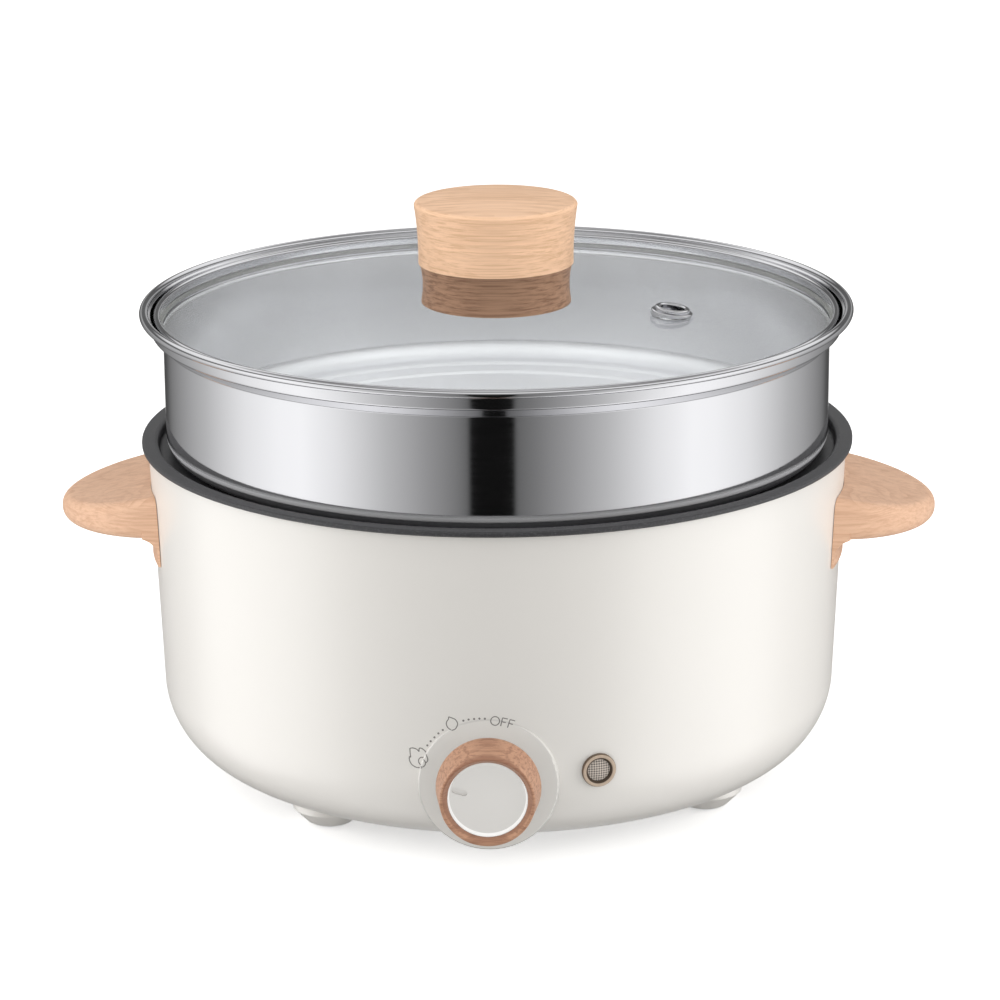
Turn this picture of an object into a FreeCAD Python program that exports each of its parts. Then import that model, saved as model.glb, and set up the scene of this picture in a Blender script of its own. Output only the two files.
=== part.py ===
import FreeCAD, Part

import math
import os
import re
from collections import namedtuple

import Sketcher

# Electric hot pot with a steamer pan and a glass lid.
# The origin is on the table, under the middle of the outline. +Z is up, the control knob
# faces -Y and the two handles lie along X. Lengths are millimetres, angles degrees.

SIZES = (
    # The pot's axis is this far behind the middle, because the knob stands out in front.
    ("axis_setback", 5.25),
    # Plastic shell: a tapered cup with a large bottom corner.
    ("shell_top_radius", 137.55),
    ("shell_base_radius", 132.5),
    ("shell_floor_height", 7.0),
    ("shell_top_height", 132.9),
    ("shell_corner_round", 32.0),
    ("shell_wall", 2.2),
    ("floor_flange_rise", 4.6),
    ("floor_step_radius", 89.5),
    ("floor_step_run", 2.5),
    ("floor_opening_radius", 64.0),
    # Base cover, let into the underside of the shell.
    ("cover_radius", 84.0),
    ("cover_gap", 0.3),
    ("cover_thickness", 2.2),
    ("cover_inset", 0.2),
    ("cover_rib_radius", 58.0),
    ("cover_rib_width", 1.6),
    ("cover_rib_drop", 1.2),
    ("cover_screw_circle", 77.0),
    ("cover_screw_count", 4),
    ("cover_screw_radius", 1.5),
    ("cover_screw_head_radius", 3.4),
    ("cover_screw_head_height", 2.0),
    ("cover_screw_length", 11.0),
    ("screw_post_radius", 4.2),
    ("screw_post_height", 9.0),
    ("vent_slot_count", 12),
    ("vent_slot_inner", 28.0),
    ("vent_slot_length", 20.0),
    ("vent_slot_width", 3.0),
    # Feet: rounded lumps moulded on the shell, each with a rubber pad.
    ("foot_circle", 100.2),
    ("foot_first_angle", 231.0),
    ("foot_second_angle", 324.6),
    ("foot_radius", 8.4),
    ("foot_flare_radius", 14.4),
    ("foot_edge_round", 3.4),
    ("foot_top_height", 15.0),
    ("foot_pad_radius", 6.0),
    ("foot_pad_gap", 0.1),
    ("foot_pad_thickness", 2.8),
    ("foot_pad_drop", 0.8),
    ("foot_pad_round", 0.5),
    # Round boss that carries the control knob, in the plane of the front wall line.
    ("boss_height", 36.2),
    ("boss_radius", 26.2),
    ("boss_sink", 0.25),
    ("boss_depth", 30.0),
    ("boss_wall", 2.8),
    ("boss_face_thickness", 3.0),
    ("boss_edge_round", 0.8),
    # Flat pad for the power inlet at the back.
    ("rear_pad_height", 34.0),
    ("rear_pad_width", 56.0),
    ("rear_pad_tall", 34.0),
    ("rear_pad_depth", 24.0),
    ("rear_pad_corner", 7.0),
    ("rear_pad_rise", 0.6),
    # Inner pot: one drawn sheet with a flat rim and a ledge for the steamer.
    ("pot_rim_radius", 140.0),
    ("pot_rim_thickness", 2.0),
    ("pot_mouth_radius", 133.4),
    ("pot_mouth_depth", 4.7),
    ("pot_inner_radius", 118.5),
    ("pot_floor_height", 52.5),
    ("pot_floor_thickness", 2.5),
    ("pot_wall", 1.6),
    ("pot_corner_round", 22.0),
    ("pot_rim_edge_round", 0.6),
    ("pot_mouth_round", 1.8),
    ("pot_ledge_round", 1.4),
    ("rim_seal_thickness", 0.8),
    ("rim_seal_width", 1.8),
    ("rim_seal_inset", 0.2),
    # Ear handles.
    ("handle_reach", 173.3),
    ("handle_half_width", 38.6),
    ("handle_bottom_height", 101.0),
    ("handle_tip_height", 110.0),
    ("handle_root_height", 118.2),
    ("handle_edge_round", 4.4),
    ("handle_flange_low", 90.3),
    ("handle_flange_thickness", 1.2),
    ("handle_flange_angle", 40.0),
    ("handle_flange_round", 0.5),
    ("handle_web_run", 5.6),
    ("handle_web_drop", 7.0),
    ("handle_web_round", 7.4),
    ("handle_seat_gap", 0.15),
    ("handle_screw_spacing", 34.0),
    ("handle_screw_height", 108.0),
    ("handle_screw_radius", 2.0),
    ("handle_screw_head_radius", 3.8),
    ("handle_screw_head_height", 2.2),
    ("handle_screw_length", 18.0),
    ("screw_hole_gap", 0.15),
    # Heater under the pot.
    ("heater_radius", 75.0),
    ("heater_thickness", 10.0),
    ("heater_bore_radius", 14.0),
    ("element_circle", 58.0),
    ("element_radius", 4.0),
    ("element_gap", 0.1),
    ("element_sweep", 330.0),
    ("element_pin_radius", 1.6),
    ("element_pin_drop", 9.0),
    ("heater_post_circle", 38.0),
    ("heater_post_count", 3),
    ("heater_post_radius", 4.5),
    ("heater_edge_round", 1.5),
    ("shield_sheet", 1.0),
    ("shield_flange_radius", 71.5),
    ("shield_plateau_radius", 50.0),
    ("shield_plateau_height", 27.0),
    ("shield_slope_low_radius", 62.5),
    ("shield_bore_radius", 22.0),
    ("clamp_screw_radius", 1.9),
    ("clamp_screw_head_radius", 3.6),
    ("clamp_screw_head_height", 2.4),
    ("clamp_screw_length", 9.0),
    # Snap-disc limiter in the middle of the heater and a fuse beside it.
    ("limiter_cup_radius", 11.0),
    ("limiter_flange_radius", 17.0),
    ("limiter_flange_thickness", 1.4),
    ("limiter_body_radius", 8.5),
    ("limiter_body_drop", 8.0),
    ("limiter_pot_gap", 0.3),
    ("limiter_tab_drop", 7.0),
    ("limiter_tab_width", 4.8),
    ("limiter_tab_thickness", 0.8),
    ("fuse_radius", 2.0),
    ("fuse_length", 11.0),
    ("fuse_lead_radius", 0.6),
    ("fuse_lead_length", 6.0),
    ("fuse_angle", 100.0),
    ("fuse_circle", 28.0),
    ("fuse_clip_width", 7.0),
    ("fuse_clip_tall", 6.0),
    ("fuse_clip_long", 6.5),
    # Control thermostat behind the boss.
    ("thermostat_width", 32.0),
    ("thermostat_tall", 26.0),
    ("thermostat_deep", 19.0),
    ("thermostat_edge_round", 2.0),
    ("thermostat_bracket_width", 36.0),
    ("thermostat_bracket_tall", 22.0),
    ("thermostat_bracket_sheet", 1.2),
    ("thermostat_tab_drop", 6.0),
    ("thermostat_screw_spacing", 25.0),
    ("thermostat_screw_radius", 1.5),
    ("thermostat_screw_head_radius", 2.7),
    ("thermostat_screw_head_height", 1.6),
    ("spindle_radius", 3.0),
    ("spindle_fit", 0.06),
    ("spindle_depth", 20.0),
    ("spindle_hole_radius", 3.6),
    ("spindle_flat", 2.1),
    # Control knob: a turned ring with an inset disc. Its travel is in the record.
    ("knob_skirt_gap", 0.8),
    ("knob_skirt_radius", 19.2),
    ("knob_wide_radius", 19.5),
    ("knob_wide_height", 2.6),
    ("knob_front_radius", 17.5),
    ("knob_front_height", 16.4),
    ("knob_front_round", 0.7),
    ("knob_skirt_bore", 16.6),
    ("knob_web_low", 8.6),
    ("knob_web_top", 11.3),
    ("knob_hub_radius", 6.6),
    ("knob_hub_low", 1.4),
    ("knob_bevel_radius", 16.5),
    ("disc_radius", 14.74),
    ("disc_fit", 0.16),
    ("disc_top", 14.5),
    ("disc_edge_round", 0.8),
    ("pointer_angle", 162.0),
    ("pointer_near", 9.0),
    ("pointer_far", 12.6),
    ("pointer_radius", 1.1),
    ("pointer_depth", 0.9),
    # Indicator lamp to the right of the knob.
    ("lamp_angle", 17.6),
    ("lamp_height", 40.3),
    ("lamp_flange_radius", 6.5),
    ("lamp_flange_height", 1.5),
    ("lamp_flange_round", 0.6),
    ("lamp_barrel_radius", 5.4),
    ("lamp_barrel_length", 10.0),
    ("lamp_lens_radius", 4.25),
    ("lamp_lens_fit", 0.1),
    ("lamp_lens_top", 1.1),
    ("lamp_lens_length", 6.0),
    ("lamp_bulb_radius", 2.6),
    ("lamp_bulb_length", 15.0),
    ("lamp_nut_radius", 8.0),
    ("lamp_nut_thickness", 2.0),
    ("lamp_nut_gap", 1.3),
    # Power inlet, an appliance coupler with three flat pins.
    ("inlet_flange_width", 48.0),
    ("inlet_flange_tall", 27.0),
    ("inlet_flange_thickness", 2.0),
    ("inlet_body_width", 28.4),
    ("inlet_body_tall", 20.4),
    ("inlet_body_depth", 24.0),
    ("inlet_cavity_width", 24.4),
    ("inlet_cavity_tall", 16.4),
    ("inlet_cavity_depth", 16.0),
    ("inlet_corner", 3.0),
    ("inlet_window_gap", 0.2),
    ("inlet_pin_width", 2.0),
    ("inlet_pin_tall", 4.0),
    ("inlet_pin_spacing", 14.0),
    ("inlet_pin_rise", 2.6),
    ("inlet_earth_rise", -1.4),
    ("inlet_pin_recess", 4.0),
    ("inlet_tab_length", 6.0),
    ("inlet_screw_spacing", 40.0),
    ("inlet_screw_radius", 1.5),
    ("inlet_screw_head_radius", 2.9),
    ("inlet_screw_head_height", 1.4),
    ("inlet_screw_length", 8.0),
    # Terminal block on the floor of the shell.
    ("terminal_angle", 62.0),
    ("terminal_circle", 96.0),
    ("terminal_width", 30.0),
    ("terminal_depth", 11.0),
    ("terminal_tall", 11.0),
    ("terminal_poles", 3),
    ("terminal_pitch", 9.0),
    ("terminal_hole_radius", 2.2),
    ("terminal_screw_radius", 1.9),
    # Steamer pan: drawn steel with a seat for the lid and a rolled lip.
    ("pan_radius", 130.4),
    ("pan_sheet", 0.8),
    ("pan_corner_round", 8.0),
    ("pan_shoulder_low", 176.1),
    ("pan_shoulder_high", 180.0),
    ("pan_shoulder_round", 0.9),
    ("pan_collar_radius", 135.1),
    ("pan_collar_top_radius", 136.0),
    ("pan_lip_height", 186.5),
    ("pan_lip_radius", 139.45),
    ("pan_lip_bead", 1.75),
    ("pan_emboss_radius", 100.0),
    ("pan_emboss_width", 5.0),
    ("pan_emboss_rise", 0.9),
    ("pan_outer_emboss_radius", 115.0),
    ("steam_hole_radius", 3.0),
    ("steam_ring_step", 14.0),
    ("steam_hole_step", 6),
    ("steam_ring_count", 3),
    # Lid.
    ("glass_crown_height", 187.4),
    ("glass_rise", 4.5),
    ("glass_thickness", 3.2),
    ("glass_radius", 131.9),
    ("band_sheet", 0.7),
    ("band_outer_radius", 134.0),
    ("band_inner_radius", 131.3),
    ("band_top_height", 186.4),
    ("band_leg_radius", 130.4),
    ("band_leg_round", 1.0),
    ("band_seat_gap", 0.25),
    ("band_top_round", 1.25),
    ("band_glass_gap", 0.1),
    ("lid_seal_width", 1.1),
    ("lid_seal_gap", 0.05),
    ("vent_x", 68.4),
    ("vent_y", -14.5),
    ("vent_bore_radius", 4.6),
    ("vent_bore_step", 0.15),
    ("vent_tube_radius", 5.8),
    ("vent_hole_gap", 0.2),
    ("vent_flange_radius", 8.2),
    ("vent_flange_height", 1.4),
    ("vent_roll_radius", 6.9),
    ("vent_roll_height", 2.9),
    ("vent_lean", 6.0),
    ("vent_clench_radius", 7.6),
    ("vent_clench_height", 0.9),
    # Lid knob: a dark turned foot, a light turned cap, a screw and its washers.
    ("foot_washer_thickness", 0.6),
    ("foot_washer_radius", 12.0),
    ("grip_foot_radius", 29.3),
    ("grip_foot_round", 0.8),
    ("grip_foot_height", 15.6),
    ("grip_foot_top_radius", 29.9),
    ("grip_foot_waist", 32.0),
    ("grip_cap_low_radius", 30.35),
    ("grip_cap_radius", 31.9),
    ("grip_cap_height", 24.3),
    ("grip_cap_waist", 130.0),
    ("grip_cap_round", 1.3),
    ("grip_crown_rise", 1.4),
    ("grip_spigot_radius", 18.0),
    ("grip_spigot_height", 3.0),
    ("grip_spigot_gap", 0.1),
    ("grip_insert_radius", 4.0),
    ("grip_insert_length", 11.0),
    ("grip_screw_radius", 2.5),
    ("grip_screw_gap", 0.15),
    ("grip_screw_head_radius", 5.0),
    ("grip_screw_head_height", 3.0),
    ("under_washer_radius", 8.5),
    ("under_washer_thickness", 1.0),
)

# Heights and radii that several pieces share, worked out from the sizes.
WALL_SLOPE = "((shell_top_radius - shell_base_radius) / (shell_top_height - shell_floor_height))"
RIM_UNDERSIDE = "(shell_top_height + rim_seal_thickness)"
RIM_TOP = f"({RIM_UNDERSIDE} + pot_rim_thickness)"
LEDGE = f"({RIM_TOP} - pot_mouth_depth)"
POT_UNDERSIDE = "(pot_floor_height - pot_floor_thickness)"
HEATER_UNDERSIDE = f"({POT_UNDERSIDE} - heater_thickness)"
FLANGE_TOP = "(shell_floor_height + floor_flange_rise)"
INNER_FLOOR = "(shell_floor_height + shell_wall)"
COVER_TOP = "(shell_floor_height + cover_inset + cover_thickness)"
COVER_UNDERSIDE = "(shell_floor_height + cover_inset)"
FOOT_UNDERSIDE = "foot_pad_drop"
GLASS_UNDERSIDE = "(glass_crown_height - glass_thickness)"
GLASS_EDGE_TOP = "(glass_crown_height - glass_rise)"
GLASS_EDGE_LOW = f"({GLASS_UNDERSIDE} - glass_rise)"
DOME_RADIUS = "((glass_radius ^ 2 + glass_rise ^ 2) / (2 * glass_rise))"
GRIP_LOW = "(glass_crown_height + foot_washer_thickness)"
GRIP_JOINT = f"({GRIP_LOW} + grip_foot_height)"
SEAL_INNER = "(shell_top_radius - rim_seal_inset - rim_seal_width)"

# The shoulder of the steamer's wall is a cone, and the lid rests on the inside of it.
SHOULDER_SLOPE = "((pan_shoulder_high - pan_shoulder_low) / (pan_collar_radius - pan_radius))"
SHOULDER_LENGTHEN = f"sqrt(1 + {SHOULDER_SLOPE} ^ 2)"

Corner = namedtuple("Corner", "across up round arc side")


# The ear's blank starts inside the shell, and its top rises evenly from the tip to there.
EAR_ROOT = "(0.85 * shell_base_radius)"
EAR_RISE = "((handle_root_height - handle_tip_height) / (handle_reach - shell_base_radius))"
EAR_ROOT_TOP = f"(handle_tip_height + (handle_reach - {EAR_ROOT}) * {EAR_RISE})"
EAR_BLANK_TOP = f"(max(handle_tip_height; {EAR_ROOT_TOP}) + 2)"


def corner(across, up, round="0", arc="0", side=1):
    """A corner of an outline. round is its own radius; arc is the radius of the curve
    that leads on to the next corner, which bulges to the left where side is 1. An arc
    named crown has its centre on the upright axis."""
    return Corner(str(across), str(up), str(round), str(arc), side)


def wall_radius(height):
    """Outside radius of the shell's wall at a height."""
    return f"(shell_base_radius + {WALL_SLOPE} * (({height}) - shell_floor_height))"


def shoulder(radius, above):
    """Height over the outside of the steamer's shoulder, above it in sheet thickness."""
    return f"(pan_shoulder_low + {SHOULDER_SLOPE} * (({radius}) - pan_radius) + ({above}) * {SHOULDER_LENGTHEN})"


def tie(text):
    """The same expression, read from the sheet of sizes."""
    return re.sub(r"\b([a-z]+_[a-z_]+)\b", r"Sizes.\1", text)


def value(text):
    return float(FreeCAD.ActiveDocument.Sizes.evalExpression(tie(text)))


def bind(item, prop, text):
    item.setExpression(prop, tie(text))


def make_sheet(doc):
    sheet = doc.addObject("Spreadsheet::Sheet", "Sizes")
    for row, (alias, number) in enumerate(SIZES, start=1):
        sheet.set(f"A{row}", alias.replace("_", " "))
        sheet.set(f"B{row}", str(number))
        sheet.setAlias(f"B{row}", alias)
    doc.recompute()


def new_body(label):
    """A body drawn about the pot's axis, which lies behind the middle of the outline."""
    body = FreeCAD.ActiveDocument.addObject("PartDesign::Body", label)
    body.Label = label
    bind(body, "Placement.Base.y", "axis_setback")
    return body


def axis(body, role):
    return next(item for item in body.Origin.OriginFeatures if item.Role == role)


def new_sketch(body, name, plane="XZ_Plane", shift=("0", "0", "0"), turn=None):
    """A sketch on one of the body's planes, shifted along its own axes."""
    sketch = body.newObject("Sketcher::SketchObject", name)
    sketch.AttachmentSupport = [(axis(body, plane), "")]
    sketch.MapMode = "FlatFace"
    if turn is not None:
        sketch.AttachmentOffset = FreeCAD.Placement(FreeCAD.Vector(), turn)
    for letter, text in zip("xyz", shift):
        bind(sketch, f"AttachmentOffset.Base.{letter}", text)
    return sketch


def hold_point(sketch, item, end, across, up):
    """Fix one end of a sketch line, or a point, at two distances from the origin."""
    for kind, line, text in (("DistanceX", -2, across), ("DistanceY", -1, up)):
        if abs(value(text)) < 1e-9:
            sketch.addConstraint(Sketcher.Constraint("PointOnObject", item, end, line))
            continue
        number = value(text)
        index = sketch.addConstraint(Sketcher.Constraint(kind, -1, 1, item, end, number))
        sketch.setExpression(f"Constraints[{index}]", tie(text))


def hold_radius(sketch, item, text):
    index = sketch.addConstraint(Sketcher.Constraint("Radius", item, value(text)))
    sketch.setExpression(f"Constraints[{index}]", tie(text))


def add_arc(sketch, centre, radius, start, end, leftward):
    """An arc from start to end, with the numbers of its first and last point."""
    first, last = (start, end) if leftward else (end, start)
    circle = Part.Circle(centre, FreeCAD.Vector(0, 0, 1), radius)
    angles = [math.atan2(spot.y - centre.y, spot.x - centre.x) for spot in (first, last)]
    if angles[1] <= angles[0]:
        angles[1] += 2 * math.pi
    item = sketch.addGeometry(Part.ArcOfCircle(circle, *angles))
    return (item, 1, 2) if leftward else (item, 2, 1)


def curve_centre(start, end, radius, side):
    """Centre of the shorter arc between two points that bulges to one side."""
    chord = end - start
    normal = FreeCAD.Vector(-chord.y, chord.x, 0) * (side / chord.Length)
    depth = math.sqrt(max(radius ** 2 - (chord.Length / 2) ** 2, 0))
    return (start + end) * 0.5 - normal * depth


def crown_centre(start, end):
    """Centre, on the upright axis, of the arc through two points."""
    rise = start.y ** 2 - end.y ** 2 + start.x ** 2 - end.x ** 2
    return FreeCAD.Vector(0, rise / (2 * (start.y - end.y)), 0)


def rounded_corner(before, spot, after, radius):
    """Touching points and centre of the arc that rounds a corner."""
    arrive = (spot - before).normalize()
    leave = (after - spot).normalize()
    turn = math.atan2(arrive.x * leave.y - arrive.y * leave.x, arrive.dot(leave))
    reach = radius * math.tan(abs(turn) / 2)
    start = spot - arrive * reach
    end = spot + leave * reach
    inward = FreeCAD.Vector(-arrive.y, arrive.x, 0) * (1 if turn > 0 else -1)
    return start, end, start + inward * radius, turn > 0


def draw(sketch, corners):
    """Draw a closed outline and constrain every corner to its expressions."""
    spots = [FreeCAD.Vector(value(item.across), value(item.up), 0) for item in corners]
    count = len(corners)
    rounds = {}
    for index, item in enumerate(corners):
        if item.round != "0":
            spot, after = spots[index], spots[(index + 1) % count]
            rounds[index] = rounded_corner(spots[index - 1], spot, after, value(item.round))
    sides = []
    for index, item in enumerate(corners):
        following = (index + 1) % count
        start = rounds[index][1] if index in rounds else spots[index]
        end = rounds[following][0] if following in rounds else spots[following]
        if item.arc == "0":
            sides.append((sketch.addGeometry(Part.LineSegment(start, end)), 1, 2))
            continue
        if item.arc == "crown":
            centre = crown_centre(start, end)
            sides.append(add_arc(sketch, centre, (start - centre).Length, start, end, item.side < 0))
            sketch.addConstraint(Sketcher.Constraint("PointOnObject", sides[-1][0], 3, -2))
            continue
        centre = curve_centre(start, end, value(item.arc), item.side)
        sides.append(add_arc(sketch, centre, value(item.arc), start, end, item.side < 0))
        hold_radius(sketch, sides[-1][0], item.arc)
    for index, item in enumerate(corners):
        came, went = sides[index - 1], sides[index]
        if index not in rounds:
            join = Sketcher.Constraint("Coincident", came[0], came[2], went[0], went[1])
            sketch.addConstraint(join)
            hold_point(sketch, went[0], went[1], item.across, item.up)
            continue
        start, end, centre, leftward = rounds[index]
        bend = add_arc(sketch, centre, value(item.round), start, end, leftward)
        sketch.addConstraint(Sketcher.Constraint("Tangent", came[0], came[2], bend[0], bend[1]))
        sketch.addConstraint(Sketcher.Constraint("Tangent", bend[0], bend[2], went[0], went[1]))
        hold_radius(sketch, bend[0], item.round)
        tip = sketch.addGeometry(Part.Point(spots[index]), True)
        hold_point(sketch, tip, 1, item.across, item.up)
        for line in (came[0], went[0]):
            sketch.addConstraint(Sketcher.Constraint("PointOnObject", tip, 1, line))


def draw_circle(sketch, radius, across="0", up="0"):
    centre = FreeCAD.Vector(value(across), value(up), 0)
    circle = Part.Circle(centre, FreeCAD.Vector(0, 0, 1), value(radius))
    item = sketch.addGeometry(circle)
    hold_point(sketch, item, 3, across, up)
    hold_radius(sketch, item, radius)


def draw_box(sketch, width, tall, round="0", across="0", up="0"):
    """A rectangle about a point, with its four corners rounded alike."""
    signs = ((-1, -1), (1, -1), (1, 1), (-1, 1))
    spots = [(f"{across} + {a} * ({width}) / 2", f"{up} + {b} * ({tall}) / 2") for a, b in signs]
    draw(sketch, [corner(a, b, round=round) for a, b in spots])


def feature(body, kind, sketch, name):
    item = body.newObject(f"PartDesign::{kind}", name)
    item.Profile = sketch
    return item


def spin(body, name, corners, cut=False, angle="360", **place):
    """Turn an outline about the upright line of its own sketch."""
    sketch = new_sketch(body, f"{name}_outline", **place)
    draw(sketch, corners)
    return spin_sketch(body, sketch, name, cut, angle)


def spin_sketch(body, sketch, name, cut=False, angle="360"):
    item = feature(body, "Groove" if cut else "Revolution", sketch, name)
    item.ReferenceAxis = (sketch, ["V_Axis"])
    item.Midplane = angle != "360"
    bind(item, "Angle", angle)
    return item


def raise_up(body, sketch, name, length, inward=False, both=False):
    item = feature(body, "Pad", sketch, name)
    bind(item, "Length", length)
    item.Reversed = inward
    item.Midplane = both
    return item


def sink(body, sketch, name, length, outward=False, both=False):
    item = feature(body, "Pocket", sketch, name)
    bind(item, "Length", length)
    item.Reversed = outward
    item.Midplane = both
    return item


def repeat(body, features, name, count, angle=None):
    """Copies of features, evenly spaced about the body's upright axis."""
    item = body.newObject("PartDesign::PolarPattern", name)
    item.Originals = features
    item.Axis = (axis(body, "Z_Axis"), [""])
    bind(item, "Occurrences", count)
    if angle is not None:
        bind(item, "Angle", angle)
    body.Tip = item
    return item


def round_edges(body, base, name, radius, chooser):
    """Round the edges of a finished feature that the chooser picks."""
    FreeCAD.ActiveDocument.recompute()
    edges = base.Shape.Edges
    picked = [f"Edge{index + 1}" for index, edge in enumerate(edges) if chooser(edge)]
    item = body.newObject("PartDesign::Fillet", name)
    item.Base = (base, picked)
    bind(item, "Radius", radius)
    return item


def tilt_of_wall():
    return math.degrees(math.atan(value(WALL_SLOPE)))


def stand(body, spot, turn=None):
    """Place a body that is drawn about its own axis."""
    body.Placement = FreeCAD.Placement(FreeCAD.Vector(), turn or FreeCAD.Rotation())
    across, along, up = spot
    for letter, text in zip("xyz", (across, f"{along} + axis_setback", up)):
        bind(body, f"Placement.Base.{letter}", text)


def knob_frame():
    """Spot and turn of the knob's axis: local Z points out of the front, slightly down."""
    depth = f"-({wall_radius('boss_height')} - boss_sink)"
    turn = FreeCAD.Rotation(FreeCAD.Vector(1, 0, 0), 90 + tilt_of_wall())
    return ("0", depth, "boss_height"), turn


def lamp_frame():
    """Spot and turn of the lamp's axis, square to the wall."""
    radius = wall_radius("lamp_height")
    spot = (f"{radius} * sin(lamp_angle)", f"-{radius} * cos(lamp_angle)", "lamp_height")
    around = FreeCAD.Rotation(FreeCAD.Vector(0, 0, 1), value("lamp_angle"))
    lean = FreeCAD.Rotation(FreeCAD.Vector(1, 0, 0), 90 + tilt_of_wall())
    return spot, around * lean


def inlet_frame():
    """Spot and turn of the inlet: local Z points out of the back, slightly down."""
    depth = f"({wall_radius('rear_pad_height')} + rear_pad_rise)"
    turn = FreeCAD.Rotation(FreeCAD.Vector(0, 0, 1), 180)
    lean = FreeCAD.Rotation(FreeCAD.Vector(1, 0, 0), 90 + tilt_of_wall())
    return ("0", depth, "rear_pad_height"), turn * lean


def face_sketch(body, name, frame, along="0"):
    """A sketch square to a frame's own axis, drawn from the body's XY plane."""
    spot, turn = frame
    sketch = body.newObject("Sketcher::SketchObject", name)
    sketch.AttachmentSupport = [(axis(body, "XY_Plane"), "")]
    sketch.MapMode = "FlatFace"
    sketch.AttachmentOffset = FreeCAD.Placement(FreeCAD.Vector(), turn)
    outward = turn.multVec(FreeCAD.Vector(0, 0, 1))
    for letter, text, part in zip("xyz", spot, outward):
        bind(sketch, f"AttachmentOffset.Base.{letter}", f"{text} + ({along}) * {part:.9f}")
    return sketch


def shell_blank(body):
    """The outer form: a tapered cup, still solid."""
    return spin(body, "shell_blank", [
        corner("0", "shell_floor_height"),
        corner("shell_base_radius", "shell_floor_height", round="shell_corner_round"),
        corner("shell_top_radius", "shell_top_height"),
        corner("0", "shell_top_height"),
    ])


def shell_feet(body):
    """Two lumps with a recess for the pad, and the two opposite them."""
    features = []
    for side in ("first", "second"):
        angle = f"foot_{side}_angle"
        shift = (f"foot_circle * cos({angle})", "0", f"-foot_circle * sin({angle})")
        features.append(spin(body, f"foot_{side}", [
            corner("0", FOOT_UNDERSIDE),
            corner("foot_radius", FOOT_UNDERSIDE, round="foot_edge_round"),
            corner("foot_flare_radius", "shell_floor_height"),
            corner("foot_flare_radius + 1", "foot_top_height"),
            corner("0", "foot_top_height"),
        ], shift=shift))
        features.append(spin(body, f"foot_{side}_recess", [
            corner("0", f"{FOOT_UNDERSIDE} - 1"),
            corner("foot_pad_radius + foot_pad_gap", f"{FOOT_UNDERSIDE} - 1"),
            corner("foot_pad_radius + foot_pad_gap", "foot_pad_thickness"),
            corner("0", "foot_pad_thickness"),
        ], cut=True, shift=shift))
    return repeat(body, features, "feet", "2")


def shell_cavity(body):
    inner = "shell_corner_round - shell_wall"
    spin(body, "cavity", [
        corner("0", FLANGE_TOP),
        corner("floor_step_radius - floor_step_run", FLANGE_TOP),
        corner("floor_step_radius", INNER_FLOOR),
        corner("shell_base_radius - shell_wall", INNER_FLOOR, round=inner),
        corner("shell_top_radius - shell_wall", "shell_top_height"),
        corner("shell_top_radius - shell_wall", "shell_top_height + 1"),
        corner("0", "shell_top_height + 1"),
    ], cut=True)
    spin(body, "cover_recess", [
        corner("0", f"{FOOT_UNDERSIDE}"),
        corner("cover_radius + cover_gap", f"{FOOT_UNDERSIDE}"),
        corner("cover_radius + cover_gap", COVER_TOP),
        corner("floor_opening_radius", COVER_TOP),
        corner("floor_opening_radius", f"{FLANGE_TOP} + 1"),
        corner("0", f"{FLANGE_TOP} + 1"),
    ], cut=True)


def shell_posts(body):
    """Posts on the floor flange that take the screws of the base cover."""
    post = new_sketch(body, "post_outline", "XY_Plane", shift=("0", "0", COVER_TOP))
    draw_circle(post, "screw_post_radius", across="cover_screw_circle")
    tall = f"{FLANGE_TOP} - {COVER_TOP} + screw_post_height"
    solid = raise_up(body, post, "screw_post", tall)
    hole = new_sketch(body, "post_hole_outline", "XY_Plane", shift=("0", "0", COVER_TOP))
    draw_circle(hole, "cover_screw_radius + 0.1", across="cover_screw_circle")
    bore = sink(body, hole, "screw_post_hole", f"{tall} - 1.5", outward=True)
    repeat(body, [solid, bore], "screw_posts", "cover_screw_count")


def shell_front(body):
    """Hollow of the boss, the spindle's hole and the holes of the two screws."""
    hollow = face_sketch(body, "boss_hollow_outline", knob_frame(), "-boss_face_thickness")
    draw_circle(hollow, "boss_radius - boss_wall")
    sink(body, hollow, "boss_hollow", "boss_depth")
    holes = face_sketch(body, "boss_hole_outline", knob_frame(), "2")
    draw_circle(holes, "spindle_hole_radius")
    for sign in (-1, 1):
        across = f"{sign} * thermostat_screw_spacing / 2"
        draw_circle(holes, "thermostat_screw_radius + screw_hole_gap", across=across)
    sink(body, holes, "boss_holes", "boss_face_thickness + 4")
    lamp = face_sketch(body, "lamp_hole_outline", lamp_frame(), "2")
    draw_circle(lamp, "lamp_barrel_radius + screw_hole_gap")
    sink(body, lamp, "lamp_hole", "shell_wall + 6")


def shell_rear(body):
    """Window of the power inlet and the pilot holes of its screws."""
    window = face_sketch(body, "inlet_window_outline", inlet_frame(), "2")
    room = "2 * inlet_window_gap"
    draw_box(window, f"inlet_body_width + {room}", f"inlet_body_tall + {room}", "inlet_corner")
    sink(body, window, "inlet_window", "rear_pad_depth")
    pilots = face_sketch(body, "inlet_pilot_outline", inlet_frame(), "2")
    for sign in (-1, 1):
        draw_circle(pilots, "inlet_screw_radius + 0.1", across=f"{sign} * inlet_screw_spacing / 2")
    sink(body, pilots, "inlet_pilots", "inlet_screw_length + 3")


def shell_handle_holes(body):
    sketch = new_sketch(body, "handle_hole_outline", "YZ_Plane")
    for sign in (-1, 1):
        across = f"{sign} * handle_screw_spacing / 2"
        radius = "handle_screw_radius + screw_hole_gap"
        draw_circle(sketch, radius, across=across, up="handle_screw_height")
    sink(body, sketch, "handle_holes", "3 * shell_top_radius", both=True)


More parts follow.
